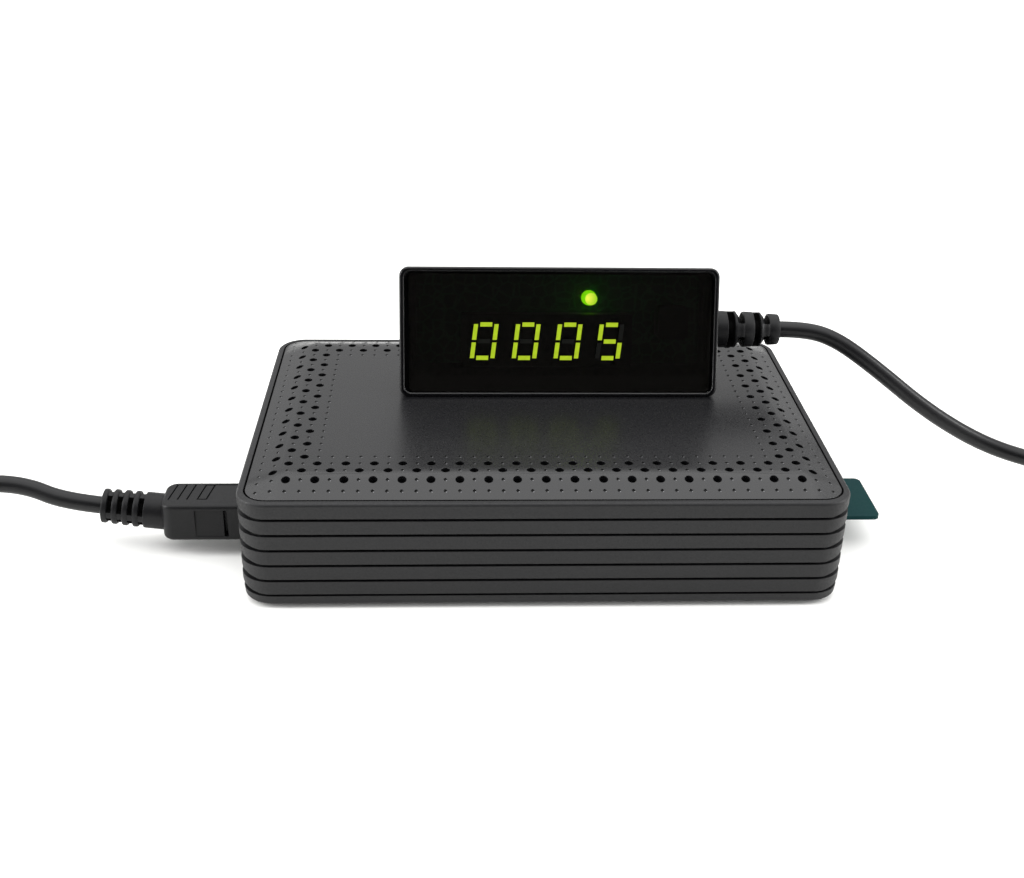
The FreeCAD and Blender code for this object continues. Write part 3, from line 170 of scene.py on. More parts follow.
# painted shade inside the slots of the reliefs: a near-black, rough, barely reflecting PVC stands for the
# little light that gets in
paintedSlotShade = surfaceOf(
    "paintedSlotShadePvc", "#050505", "#080808", (0.8, 0.95), drift=2, grain=0.15, strength=0.4, depth=0.02,
    specular=0.08,
)
# the cord's own jacket is extruded, so it is smoother and shinier than the moulded pieces
cordPvc = surfaceOf(
    "extrudedPvc", "#09090b", "#0d0d0f", (0.34, 0.41), drift=9, grain=0.5, strength=0.08, specular=0.3,
)
# soft rubber pads, stamped out of a calendered sheet
footRubber = surfaceOf(
    "stampedRubber", "#101010", "#181818", (0.75, 0.9), drift=3, grain=0.15, strength=0.4, depth=0.03,
)
# glass-filled socket plastics, moulded against polished tools
socketPbt = surfaceOf("mouldedPbtBlack", "#121214", "#18181a", (0.32, 0.45), drift=5, grain=0.2)
socketLcp = surfaceOf("mouldedLcpWhite", "#dcdcd8", "#efefec", (0.35, 0.5), drift=3, grain=0.12)
aerialInsulator = surfaceOf(
    "mouldedAcetalGrey", "#3f3a3a", "#4b4546", (0.35, 0.45), drift=1.5, grain=0.1, depth=0.006,
)
# epoxy pressed round a chip, matt from its filler
chipEpoxy = surfaceOf("mouldedEpoxy", "#141416", "#1c1c1f", (0.5, 0.65), drift=4, grain=0.12, strength=0.3)
# thin sheet steel with a bright tin coat, drawn through rollers along its length
tinnedSteel = surfaceOf(
    "tinnedSteel", "#a3a29b", "#c9c7be", (0.24, 0.4), drift=4, grain=0.25, stretch=(1, 0.2, 1),
    strength=0.15, depth=0.005, metallic=1.0,
)
# machined brass under nickel: warm silver with faint tool marks
nickelPlate = surfaceOf(
    "nickelPlatedBrass", "#b9b09a", "#ddd6c4", (0.16, 0.34), drift=2.2, grain=0.16, strength=0.25,
    depth=0.008, metallic=1.0,
)
# rolled bronze strip under a thin flash of gold
goldFlash = surfaceOf(
    "goldFlashedBronze", "#b8924a", "#e0bd6e", (0.2, 0.32), drift=1, grain=0.1, strength=0.1, depth=0.003,
    metallic=1.0,
)
# aluminium pressed through a die, with its lines along the length
sinkAluminium = surfaceOf(
    "extrudedAluminium", "#9a9da1", "#b4b7ba", (0.3, 0.45), drift=6, grain=0.3, stretch=(1, 0.08, 1),
    depth=0.006, metallic=1.0,
)
# polished ABS of the display unit: near black, mirror smooth, with a faint orange peel
displayAbs = surfaceOf(
    "polishedAbs", "#060607", "#08080a", (0.07, 0.12), drift=9, grain=1.4, edge=0.5, strength=0.03,
    more={"IOR": 1.58},
)
# printed vinyl: a smooth black film, and the same film where the pale hairline is printed
plateVinyl = surfaceOf(
    "printedVinylBlack", "#0c0c0d", "#121214", (0.3, 0.42), drift=6, grain=0.6, strength=0.08,
)
plateLine = surfaceOf(
    "printedVinylPale", "#8e8f8e", "#a3a4a2", (0.4, 0.5), drift=3, grain=0.2, strength=0.05,
)
# PVC card under a thin laminate, printed in one dark teal
cardPvc = surfaceOf(
    "laminatedCardPvc", "#0c2d31", "#103432", (0.36, 0.46), drift=7, grain=0.5, edge=0.06, strength=0.05,
    depth=0.005, specular=0.05,
)
# a digit's bar with its light off: dull epoxy
unlitBar = surfaceOf(
    "unlitDigitBar", "#0a0b09", "#0d0e0b", (0.5, 0.6), drift=2, grain=0.4, edge=0.03, strength=0.1,
    specular=0.1,
)


# Clear tinted polycarbonate of the network lamps, unlit
def lampSurface(name, dark, light):
    more = {"Transmission Weight": 0.35, "IOR": 1.58}
    return surfaceOf(name, dark, light, (0.12, 0.22), drift=1.2, grain=0.3, strength=0.1, more=more)


# Nylon tape: a plain weave of half-millimetre threads
def wovenSurface():
    material, tree = newMaterial("wovenNylon")
    point = addNode(tree, "TexCoord").outputs["Object"]
    inputs = {"Vector": point, "Scale": 1 / (0.5 * mm) / 20, "Distortion": 0.4, "Detail": 1.0}
    threads = [
        addNode(tree, "TexWave", inputs, wave_type="BANDS", bands_direction=axis).outputs["Fac"]
        for axis in ("X", "Y")
    ]
    weave = addNode(tree, "Math", dict(enumerate(threads)), operation="MAXIMUM")
    tone = addNode(tree, "Mix", {0: weave, 6: linear("#0d0d0e"), 7: linear("#1b1b1d")}, data_type="RGBA")
    relief = addNode(tree, "Bump", {"Height": weave, "Strength": 0.8, "Distance": 0.08 * mm})
    return shine(material, {"Base Color": tone, "Roughness": 0.85, "Sheen Weight": 0.3, "Normal": relief})


wovenNylon = wovenSurface()

# The cover: the same ABS in a satin grain, with a field of shallow pin marks on the 2.5 mm raster, darkened
# with painted shade, each with a painted highlight beside it
coverLook = {
    "pitch": 2.5, "drift": 22.2222, "grain": 0.3,  # mm
    "pinRadius": 0.14,  # this and the next two are shares of the pitch
    # the painted highlight beside each mark: its offset from the mark, and the rim of its spot
    "paintedGlint": (0.07, -0.1, 0),
    "paintedGlintRim": {"From Min": 0.02, "From Max": 0.065},
    "outer": (20.3, 13.3),  # raster steps from the middle
    "inner": (15.5, 8.5),
    "depth": 0.3,
    "turn": {"X": 46.05, "Y": 28.55},  # mm from the middle, where the crown starts to fall
    "blend": 2.4,
    "tilt": 0.3,
    "flat": {"From Min": 0.88, "From Max": 0.92},  # the normal's upward part, from the skirt to the crown
}
rising = {"To Min": 0.0, "To Max": 1.0}
falling = {"To Min": 1.0, "To Max": 0.0}


def coverSurface():
    material, tree = newMaterial("satinAbsWithPinMarks")
    point = addNode(tree, "TexCoord").outputs["Object"]
    size = {part: 1 / (coverLook[part] * mm) for part in ("drift", "grain", "pitch")}
    drift = addNode(tree, "TexNoise", {"Vector": point, "Scale": size["drift"], "Detail": 2.0})
    grain = addNode(tree, "TexNoise", {"Vector": point, "Scale": size["grain"], "Detail": 4.0})
    raster = (size["pitch"], size["pitch"], 0)
    steps = addNode(tree, "VectorMath", {0: point, 1: raster, 2: (0.5, 0.5, 0)}, operation="MULTIPLY_ADD")
    inCell = addNode(tree, "VectorMath", {0: steps}, operation="FRACTION")
    offset = addNode(tree, "VectorMath", {0: inCell, 1: (0.5, 0.5, 0)}, operation="SUBTRACT")
    away = addNode(tree, "VectorMath", {0: offset}, operation="LENGTH")
    radius = coverLook["pinRadius"]
    pin = {"Value": away, "From Min": radius * 0.45, "From Max": radius, **falling}
    pin = addNode(tree, "MapRange", pin, interpolation_type="SMOOTHSTEP")
    # where the marks lie: inside the outer limits, outside the smooth middle
    whole = addNode(tree, "VectorMath", {0: point, 1: raster}, operation="MULTIPLY")
    spread = addNode(tree, "VectorMath", {0: whole}, operation="ABSOLUTE")
    parts = addNode(tree, "SeparateXYZ", {"Vector": spread}).outputs
    inside = []
    for zone in ("outer", "inner"):
        across, deep = (
            addNode(tree, "Math", {0: parts[k], 1: coverLook[zone][k]}, operation="LESS_THAN") for k in (0, 1)
        )
        inside.append(addNode(tree, "Math", {0: across, 1: deep}, operation="MULTIPLY"))
    field = addNode(tree, "Math", dict(enumerate(inside)), operation="SUBTRACT")
    marks = addNode(tree, "Math", {0: pin, 1: field}, operation="MULTIPLY")
    # each mark has a painted highlight on one side: a small light grey spot in the colour, offset from the
    # mark, where a glint would be
    paintedGlint = addNode(tree, "VectorMath", {0: offset, 1: coverLook["paintedGlint"]}, operation="DISTANCE")
    paintedGlint = {"Value": paintedGlint, **coverLook["paintedGlintRim"], **falling}
    paintedGlint = addNode(tree, "MapRange", paintedGlint, interpolation_type="SMOOTHSTEP")
    paintedGlint = addNode(tree, "Math", {0: paintedGlint, 1: field}, operation="MULTIPLY")
    # the crown turns down gently over a few millimetres, without a crease
    facing = addNode(tree, "NewGeometry").outputs["True Normal"]
    upright = addNode(tree, "SeparateXYZ", {"Vector": facing}).outputs["Z"]
    place = addNode(tree, "SeparateXYZ", {"Vector": point}).outputs
    most, blend = coverLook["tilt"], coverLook["blend"]
    tilts = {}
    for axis, turn in coverLook["turn"].items():
        span = {"From Min": (turn - blend) * mm, "From Max": (turn + blend) * mm}
        far = addNode(tree, "Math", {0: place[axis]}, operation="ABSOLUTE")
        tilt = {"Value": far, **span, "To Min": 0.0, "To Max": most}
        tilt = addNode(tree, "MapRange", tilt, interpolation_type="SMOOTHSTEP")
        side = addNode(tree, "Math", {0: place[axis]}, operation="SIGN")
        tilts[axis] = addNode(tree, "Math", {0: tilt, 1: side}, operation="MULTIPLY")
    level = addNode(tree, "CombineXYZ", tilts)
    steep = addNode(tree, "VectorMath", {0: level}, operation="LENGTH")
    steep = addNode(tree, "Math", {0: steep, 1: most}, operation="MAXIMUM")
    even = addNode(tree, "Math", {0: most, 1: steep}, operation="DIVIDE")
    level = addNode(tree, "VectorMath", {0: level, "Scale": even}, operation="SCALE")
    crown = addNode(tree, "VectorMath", {0: level, 1: (0, 0, 1)}, operation="ADD")
    crown = addNode(tree, "VectorMath", {0: crown}, operation="NORMALIZE")
    onTop = addNode(tree, "MapRange", {"Value": upright, **coverLook["flat"], **rising})
    change = addNode(tree, "VectorMath", {0: crown, 1: facing}, operation="SUBTRACT")
    change = addNode(tree, "VectorMath", {0: change, "Scale": onTop}, operation="SCALE")
    soft = addNode(tree, "Bevel", {"Radius": usualLook["edge"] * mm}, samples=4)
    rounded = addNode(tree, "VectorMath", {0: soft, 1: change}, operation="ADD")
    rounded = addNode(tree, "VectorMath", {0: rounded}, operation="NORMALIZE")
    height = addNode(tree, "Math", {0: 1.0, 1: marks}, operation="SUBTRACT")
    dents = {"Height": height, "Strength": 1.0, "Distance": coverLook["depth"] * mm, "Normal": rounded}
    dents = addNode(tree, "Bump", dents)
    relief = {"Height": grain, "Strength": 0.18, "Distance": 0.02 * mm, "Normal": dents}
    relief = addNode(tree, "Bump", relief)
    tone = addNode(tree, "Mix", {0: drift, 6: linear("#0c0c0e"), 7: linear("#101012")}, data_type="RGBA")
    # painted shade: the marks' colour is darkened nearly to black, where little light gets in
    tone = addNode(tree, "Mix", {0: marks, 6: tone, 7: linear("#010101")}, data_type="RGBA")
    # painted highlight: the light grey of the glint beside each mark
    tone = addNode(tree, "Mix", {0: paintedGlint, 6: tone, 7: linear("#6a6a6c")}, data_type="RGBA")
    gloss = addNode(tree, "MapRange", {"Value": grain, **grainSpan, "To Min": 0.25, "To Max": 0.33})
    mirrored = {"Value": marks, "From Min": 0.2, "From Max": 0.8, "To Min": 0.45, "To Max": 0.05}
    mirrored = addNode(tree, "MapRange", mirrored)
    return shine(material, {
        "Base Color": tone, "Roughness": gloss, "Normal": relief, "Specular IOR Level": mirrored,
    })


# Glass-fibre board under green solder mask: copper runs show through as a lighter web
def boardSurface():
    material, tree = newMaterial("solderMaskedFibreBoard")
    point = addNode(tree, "TexCoord").outputs["Object"]
    inputs = {"Vector": point, "Scale": 1 / (2.2 * mm), "Randomness": 0.75}
    runs = addNode(tree, "TexVoronoi", inputs, feature="DISTANCE_TO_EDGE")
    copper = addNode(tree, "Math", {0: runs, 1: 0.07}, operation="LESS_THAN")
    tone = addNode(tree, "Mix", {0: copper, 6: linear("#0d4a2b"), 7: linear("#1c6f45")}, data_type="RGBA")
    relief = addNode(tree, "Bump", {"Height": copper, "Strength": 0.4, "Distance": 0.03 * mm})
    return shine(material, {"Base Color": tone, "Roughness": 0.3, "Normal": relief})


# Tinted acrylic pane: polished, dark, clear enough for what shines behind it
def windowSurface():
    material, tree = newMaterial("tintedAcrylic")
    point = addNode(tree, "TexCoord").outputs["Object"]
    smear = addNode(tree, "TexNoise", {"Vector": point, "Scale": 1 / (7.142857 * mm), "Detail": 3.0})
    gloss = {"Value": smear, "From Min": 0.4, "From Max": 0.7, "To Min": 0.0, "To Max": 0.03}
    gloss = addNode(tree, "MapRange", gloss)
    inputs = {"Base Color": linear("#5a5854"), "Roughness": gloss, "IOR": 1.49, "Transmission Weight": 1.0}
    return shine(material, inputs)


# Light diffused through a cast epoxy bar or dome; a dome is brightest at its middle
def lightSurface(name, body, rim, bright, power, middle=None, size=0.8):
    material, tree = newMaterial(name)
    point = addNode(tree, "TexCoord").outputs["Object"]
    if middle is not None:
        away = addNode(tree, "VectorMath", {0: point, 1: middle}, operation="DISTANCE")
        heart = {"Value": away, "From Min": 0.0, "From Max": size * mm, **falling}
        heart = addNode(tree, "MapRange", heart)
    else:
        heart = addNode(tree, "TexNoise", {"Vector": point, "Scale": 1 / (size * mm), "Detail": 2.0})
    glow = addNode(tree, "Mix", {0: heart, 6: linear(rim), 7: linear(bright)}, data_type="RGBA")
    return shine(material, {
        "Base Color": linear(body), "Roughness": 0.4, "Emission Color": glow, "Emission Strength": power,
    })


digitLight = lightSurface("diffusedDigitBar", "#3a400c", "#a4be00", "#c8ec10", 0.75)
# the middle of the dome's round end
ledEnd = sum(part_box("status_led"), Vector()) / 2 + Vector((-0.15, -2.95, 0.95)) * mm
ledLight = lightSurface("diffusedLedDome", "#80a020", "#6cc400", "#f4ff58", 11.0, ledEnd, 2.4)

coverAbs = coverSurface()
finishes = {
    caseAbs: ["lower_case"],
    coverAbs: ["top_cover"],
    boardSurface(): ["main_board", "display_board"],
    chipEpoxy: ["main_processor", "memory_chips", "power_inductors", "ir_receiver"],
    tinnedSteel: ["tuner_shield", "crystal", "board_screws", "display_socket"],
    sinkAluminium: ["heat_sink", "electrolytic_capacitors"],
    nickelPlate: [
        "f_connector_body", "f_connector_contact", "hdmi_shell", "usb_shell_left", "usb_shell_right",
        "dc_jack_pin", "plug_shell",
    ],
    goldFlash: ["ethernet_contacts", "card_contacts"],
    aerialInsulator: ["f_connector_insulator"],
    socketPbt: ["hdmi_insulator", "ethernet_jack", "dc_jack", "card_reader", "digit_module"],
    socketLcp: ["usb_insulator_left", "usb_insulator_right"],
    lampSurface("tintedPolycarbonateYellow", "#a88c14", "#d0b028"): ["ethernet_lamp_yellow"],
    lampSurface("tintedPolycarbonateGreen", "#3f7f48", "#62a568"): ["ethernet_lamp_green"],
    displayAbs: ["display_front", "display_back"],
    windowSurface(): ["display_window"],
    digitLight: ["digit_segments"],
    ledLight: ["status_led"],
    cardPvc: ["smart_card"],
    leadPvc: ["display_relief", "plug_relief", "plug_body"],
    cordPvc: ["cord_run_display", "cord_run_plug", "cord_coil"],
    footRubber: ["rubber_feet"],
    wovenNylon: ["coil_tie"],
}
for material, names in finishes.items():
    for name in names:
        mesh = nodes[name].data
        mesh.materials.clear()
        mesh.materials.append(material)
print("materials made:", len(finishes))


def weldCorners(bm):
    bmesh.ops.remove_doubles(bm, verts=bm.verts, dist=0.0005)


def cornersOf(geom):
    return [g for g in geom if isinstance(g, bmesh.types.BMVert)]


def meanOf(verts):
    return sum((v.co for v in verts), Vector()) / len(verts)


def lengthAlong(edge, axis):
    return abs(edge.verts[0].co[axis] - edge.verts[1].co[axis])


def boxMm(node):
    low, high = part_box(node)
    return Vector(low) / mm, Vector(high) / mm


def carry(bm, verts, angle, axis, place):
    turn = Matrix.Rotation(radians(angle), 4, axis)
    bmesh.ops.transform(bm, matrix=Matrix.Translation(place) @ turn, verts=verts)


# The middle of a node's left side
def rootOf(node):
    low, high = boxMm(node)
    return Vector((low.x, (low.y + high.y) / 2, (low.z + high.z) / 2))


# A copy of a node's mesh in millimetres, without the edges that cross its flat faces
def copyOf(node, flat=0.3):
    bm = bmesh.new()
    bm.from_mesh(nodes[node].data)
    bmesh.ops.scale(bm, vec=(1 / mm, 1 / mm, 1 / mm), verts=bm.verts)
    weldCorners(bm)
    bmesh.ops.dissolve_limit(bm, angle_limit=radians(flat), verts=bm.verts[:], edges=bm.edges[:])
    return bm


# New pieces are drawn in millimetres and put into metres when they are finished
def finishPiece(bm, name, materials, body, replaced=(), sharp=32):
    weldCorners(bm)
    bmesh.ops.recalc_face_normals(bm, faces=bm.faces)
    bmesh.ops.scale(bm, vec=(mm, mm, mm), verts=bm.verts)
    mesh = bpy.data.meshes.new(name)
    bm.to_mesh(mesh)
    bm.free()
    for material in materials:
        mesh.materials.append(material)
    mesh.shade_smooth()
    mesh.set_sharp_from_angle(angle=radians(sharp))
    piece = addObject(name, mesh)
    piece.modifiers.new("evenShading", "WEIGHTED_NORMAL").keep_sharp = True
    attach(piece, body)
    if replaced:
        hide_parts(*replaced)


def spin(bm, profile, steps):
    corners = [bm.verts.new((along, 0.0, radius)) for along, radius in profile]
    edges = [bm.edges.new(pair) for pair in zip(corners, corners[1:])]
    bmesh.ops.spin(
        bm, geom=corners + edges, cent=(0, 0, 0), axis=(1, 0, 0), angle=2 * pi, steps=steps,
        use_merge=True,
    )
    weldCorners(bm)


def addBlock(bm, low, high):
    middle, half = (low + high) / 2, (high - low) / 2
    bmesh.ops.create_cube(bm, size=2.0, matrix=Matrix.Translation(middle) @ Matrix.Diagonal((*half, 1.0)))


def roundEdges(bm, edges, radius, segments):
    bmesh.ops.bevel(
        bm, geom=edges, offset=radius, offset_type="OFFSET", segments=segments, profile=0.5, affect="EDGES",
        material=-1, clamp_overlap=True,
    )


def stretch(vert, share):
    vert.co.y *= share
    vert.co.z *= share


# Slotted strain relief: blocks on a thin core, joined across each slot by two or four webs
def slottedSleeve(bm, look):
    blocks, soft, core = look["blocks"], look["soft"], look["core"]
    profile = [(blocks[0][0], 0.0)]
    for k, (start, end, first, last) in enumerate(blocks):
        if k:
            profile.append((start, core))
        profile += [(start, first - soft), (start + soft * 0.3, first - soft * 0.3), (start + soft, first)]
        slope = look["slopes"].get(k, soft)
        foot = max(core + 0.05, last - max(soft, slope * 1.75))
        fall = (last - foot) * (0.42 if k in look["slopes"] else 0.17)
        profile += [(end - slope, last), (end - slope * 0.45, last - fall), (end, foot)]
        if k < len(blocks) - 1:
            profile.append((end, core))
    profile.append((blocks[-1][1], 0.0))
    spin(bm, profile, look["steps"])
    near = 0.01
    for vert in bm.verts:
        across = hypot(vert.co.y, vert.co.z)
        if across < core * 0.9:
            continue
        angle = degrees(atan2(-vert.co.y, vert.co.z))
        for level, (start, end, webs, half) in zip(look["webs"], look["slots"]):
            onWeb = any(abs((angle - web + 180) % 360 - 180) < half for web in webs)
            if onWeb and across < level and start - near < vert.co.x < end + near:
                stretch(vert, level / across)
    # painted shade: faces deep in the listed dark spans take the second, near-black material
    for face in bm.faces:
        spot = face.calc_center_median().x
        if any(start - near < spot < end + near for start, end in look["dark"]):
            if min(hypot(v.co.y, v.co.z) for v in face.verts) < core + 0.3:
                face.material_index = 1


# The plug's boot: a neck and four rings, with four webs between each two
bootLook = {
    "root": -0.8,  # inside the grip
    "neck": 3.7, "rings": 4, "pitch": 1.93, "slot": 0.78, "radius": 3.4, "narrowing": 0.06, "webDrop": 0.22,
    "tilt": 7.0,  # degrees upwards
    "turned": (-5, 85, 175, 265),  # where the webs are
    "webHalf": 15,
    "core": 1.95, "soft": 0.34, "slopes": {}, "steps": 72,
}


def makeBoot():
    neck, pitch, slot, radius = (bootLook[key] for key in ("neck", "pitch", "slot", "radius"))
    blocks = [(bootLook["root"], neck, radius, radius)]
    slots, webs = [], []
    for k in range(bootLook["rings"]):
        start = neck + pitch * k
        outer = radius - bootLook["narrowing"] * k
        blocks.append((start + slot, start + pitch, outer, outer))
        slots.append((start, start + slot, bootLook["turned"], bootLook["webHalf"]))
        webs.append(outer - bootLook["webDrop"])
    # the slots, whose deep faces take the painted-shade material
    dark = [one[:2] for one in slots]
    bm = bmesh.new()
    slottedSleeve(bm, {**bootLook, "blocks": blocks, "slots": slots, "webs": webs, "dark": dark})
    carry(bm, bm.verts, 180 + bootLook["tilt"], "Y", rootOf("plug_body"))
    finishPiece(bm, "plugBoot", [leadPvc, paintedSlotShade], "lead", ["plug_relief"], 40)


makeBoot()

# The display's relief: webs above and below at the square slots, before and behind at the sloped ones
reliefLook = {
    "blocks": [
        (0.0, 3.3, 3.7, 3.65), (4.5, 5.95, 3.65, 3.62), (6.4, 8.6, 3.55, 3.5), (9.65, 10.95, 3.45, 3.4),
        (11.5, 13.8, 3.15, 3.05),
    ],
    # the slot spans whose deep faces take the painted-shade material
    "dark": [(3.3, 4.5), (5.95, 6.4), (8.6, 9.65), (10.95, 11.5)],
    "slopes": {1: 0.95, 3: 0.95},
    "slots": [  # start, end, where its webs are (leaning with the unit) and half their width
        (3.3, 4.5, (-18, 162), 16), (4.95, 6.4, (72, 252), 24), (8.6, 9.65, (-18, 162), 16),
        (10.1, 11.5, (72, 252), 24),
    ],
    "webs": [3.6, 3.52, 3.42, 3.12],
    "core": 1.95, "soft": 0.3, "steps": 80,
}


def makeRelief():
    bm = bmesh.new()
    slottedSleeve(bm, reliefLook)
    bmesh.ops.translate(bm, vec=rootOf("display_relief"), verts=bm.verts)
    finishPiece(bm, "displayRelief", [leadPvc, paintedSlotShade], "display", ["display_relief"], 40)


makeRelief()

# The plug's grip: rounded at the rear, a thumb recess in both sides, marks cut in the top
gripLook = {
    "rear": 2.2, "rim": 0.75,
    "recess": (0.25, 0.2),  # from the lower and the upper rim
    "steps": ((0.392, 0.5), (0.715, 1.0)),  # share of the length from the rear, further depth
    "slitEnd": 0.762,
    "grooves": (0.10, 0.205, 0.31),
    "frame": (0.42, 0.54),
    "span": (-2.1, 3.5),  # across the top, from the middle
    "line": 0.3,
    "lean": 8.0,  # degrees
    "track": (0.57, 3.3, 3.62),
    "cut": 0.3,
}


def cutAlong(bm, geom, place, across):
    bmesh.ops.bisect_plane(bm, geom=geom, plane_co=place, plane_no=across, dist=0.0001)


def cutTop(bm, level, place, across):
    faces = [f for f in bm.faces if f.normal.z > 0.99 and f.calc_center_median().z > level - 0.02]
    around = dict.fromkeys(part for f in faces for part in (*f.edges, *f.verts))
    cutAlong(bm, [*faces, *around], place, across)


def makeGrip():
    low, high = boxMm("plug_body")
    middle, half = (low + high) / 2, (high - low) / 2
    bm = bmesh.new()
    addBlock(bm, low, high)
    upright = [
        e for e in bm.edges
        if all(v.co.x < middle.x for v in e.verts) and lengthAlong(e, 1) < 0.01 and lengthAlong(e, 2) > 1
    ]
    roundEdges(bm, upright, gripLook["rear"], 7)
    for sign in (1, -1):
        rim = []
        for edge in bm.edges:
            level = [f.normal.z * sign > 0.99 for f in edge.link_faces]
            atFront = all(v.co.x > high.x - 0.01 for v in edge.verts)
            if len(level) == 2 and any(level) and not all(level) and not atFront:
                rim.append(edge)
        roundEdges(bm, rim, gripLook["rim"], 5)
    length = high.x - low.x
    starts = [low.x + length * share for share, depth in gripLook["steps"]]
    slit = low.x + length * gripLook["slitEnd"]
    below, above = gripLook["recess"]
    bottom, top = low.z + gripLook["rim"] + below, high.z - gripLook["rim"] - above
    for x in (*starts, slit):
        cutAlong(bm, [*bm.verts, *bm.edges, *bm.faces], (x, 0, 0), (1, 0, 0))
    for z in (bottom, top):
        cutAlong(bm, [*bm.verts, *bm.edges, *bm.faces], (0, 0, z), (0, 0, 1))
    for sign in (1, -1):
        for start, (share, depth) in zip(starts, gripLook["steps"]):
            wall = [
                f for f in bm.faces
                if f.normal.y * sign > 0.99
                and start < f.calc_center_median().x < slit
                and bottom < f.calc_center_median().z < top
            ]
            moved = bmesh.ops.extrude_face_region(bm, geom=wall)["geom"]
            bmesh.ops.delete(bm, geom=wall, context="FACES")
            bmesh.ops.translate(bm, vec=(0, -sign * depth, 0), verts=cornersOf(moved))
    # the recess runs out downwards, so that its lower end shows no ledge
    for vert in bm.verts:
        if abs(vert.co.z - bottom) < 0.01 and starts[0] - 0.01 < vert.co.x < slit + 0.01:
            aside = vert.co.y - middle.y
            if 0.05 < half.y - abs(aside) < 0.8:
                vert.co.y = middle.y + copysign(half.y - 0.1, aside)
    # the marks on top
    lean = tan(radians(gripLook["lean"]))
    line, (near, far) = gripLook["line"], gripLook["span"]
    grooves = [low.x + length * share - line / 2 for share in gripLook["grooves"]]
    left, right = (low.x + length * share for share in gripLook["frame"])
    trackFrom, trackNear, trackFar = gripLook["track"]
    trackStart = low.x + length * trackFrom
    for start in (*grooves, left, right - line):
        for x in (start, start + line):
            cutTop(bm, high.z, (x, middle.y, 0), (1, -lean, 0))
    for across in (near, near + line, far - line, far, trackNear, trackFar):
        cutTop(bm, high.z, (0, middle.y + across, 0), (0, 1, 0))
    cutTop(bm, high.z, (trackStart, 0, 0), (1, 0, 0))
    chosen = []
    for face in bm.faces:
        spot = face.calc_center_median()
        if face.normal.z < 0.99 or spot.z < high.z - 0.02:
            continue
        across = spot.y - middle.y
        along = spot.x - across * lean
        within = near < across < far
        inGroove = within and any(start < along < start + line for start in grooves)
        inFrame = within and left < along < right and not (
            left + line < along < right - line and near + line < across < far - line
        )
        inTrack = spot.x > trackStart and trackNear < across < trackFar
        if inGroove or inFrame or inTrack:
            chosen.append(face)
    bmesh.ops.inset_region(bm, faces=chosen, thickness=0.04, depth=-gripLook["cut"], use_even_offset=True)
    finishPiece(bm, "plugGrip", [leadPvc], "lead", ["plug_body"], 30)


makeGrip()
print("plug, boot and relief made")

# The aerial socket: a hexagon against the wall, then a threaded barrel with a chamfered mouth
barrelLook = {
    "pitch": 0.79,  # 32 threads to the inch
    "depth": 0.42, "radius": 4.74, "bore": 2.72, "mouth": 3.15,
    "out": 11.2,  # from the wall to the mouth
    "inWall": 4.4,
    "plain": 1.1,  # without a thread, at the mouth
    "chamfer": ((-0.75, -0.3), (-0.62, -0.12), (-0.25, -0.5), (-0.06, -0.72), (0, -0.85)),
    "hexagon": 10.4,  # across its flats
    "hexagonThick": 1.2,
    "steps": 64,
    "samples": 8,  # per pitch
}


def makeBarrel():
    low, high = boxMm("f_connector_body")
    middle = (low + high) / 2
    radius, pitch, bore, mouth, thick = (
        barrelLook[key] for key in ("radius", "pitch", "bore", "mouth", "hexagonThick")
    )
    wall, full = high.y - barrelLook["out"] - low.y, high.y - low.y
    start, end = wall + thick, full - barrelLook["plain"]
    profile = [(0.0, bore), (0.0, barrelLook["inWall"]), (wall, barrelLook["inWall"]), (wall, radius)]
    count = round((end - start) / pitch * barrelLook["samples"])
    profile += [(start + (end - start) * k / count, radius) for k in range(count + 1)]
    profile += [(full + along, radius + outward) for along, outward in barrelLook["chamfer"]]
    profile += [(full, mouth + 0.1), (full - 0.05, mouth), (full - 0.5, bore), (0.0, bore)]
    bm = bmesh.new()
    spin(bm, profile, barrelLook["steps"])
    for vert in bm.verts:
        across = hypot(vert.co.y, vert.co.z)
        if start - 0.001 < vert.co.x < end + 0.001 and across > radius - 0.01:
            turn = atan2(vert.co.z, vert.co.y) / (2 * pi)
            groove = 0.5 - 0.5 * cos(2 * pi * ((vert.co.x / pitch - turn) % 1))
            fade = min(1.0, (vert.co.x - start) / 0.5, (end - vert.co.x) / 0.3)
            level = radius - barrelLook["depth"] * groove * max(0.0, fade) ** 0.7
            stretch(vert, level / across)
    carry(bm, bm.verts, 90, "Z", (middle.x, low.y, middle.z))
    # the hexagon sits over the barrel's root
    before = set(bm.verts)
    corner = barrelLook["hexagon"] / 2 / cos(radians(30))
    bmesh.ops.create_cone(bm, cap_ends=True, segments=6, radius1=corner, radius2=corner, depth=thick)
    nut = [v for v in bm.verts if v not in before]
    rim = [e for e in bm.edges if e.verts[0] in nut and all(v.co.z > 0 for v in e.verts)]
    roundEdges(bm, rim, 0.35, 2)
    nut = [v for v in bm.verts if v not in before]
    carry(bm, nut, -90, "X", (middle.x, high.y - barrelLook["out"] + thick / 2, middle.z))
    finishPiece(bm, "aerialBarrel", [nickelPlate], "receiver", ["f_connector_body"], 50)


makeBarrel()

# Four bronze springs lie along the open face of each data socket's tongue
springLook = {
    "places": (-3.5, -1.0, 1.0, 3.5),
    "width": 1.05, "thick": 0.15, "length": 8.6,
    "lift": 0.55,  # the hump near the mouth
    "hump": (0.24, 0.13),  # its place and its width, as shares of the length
    "behind": 0.6,  # the tongue's end
    "aside": 0.1,
}


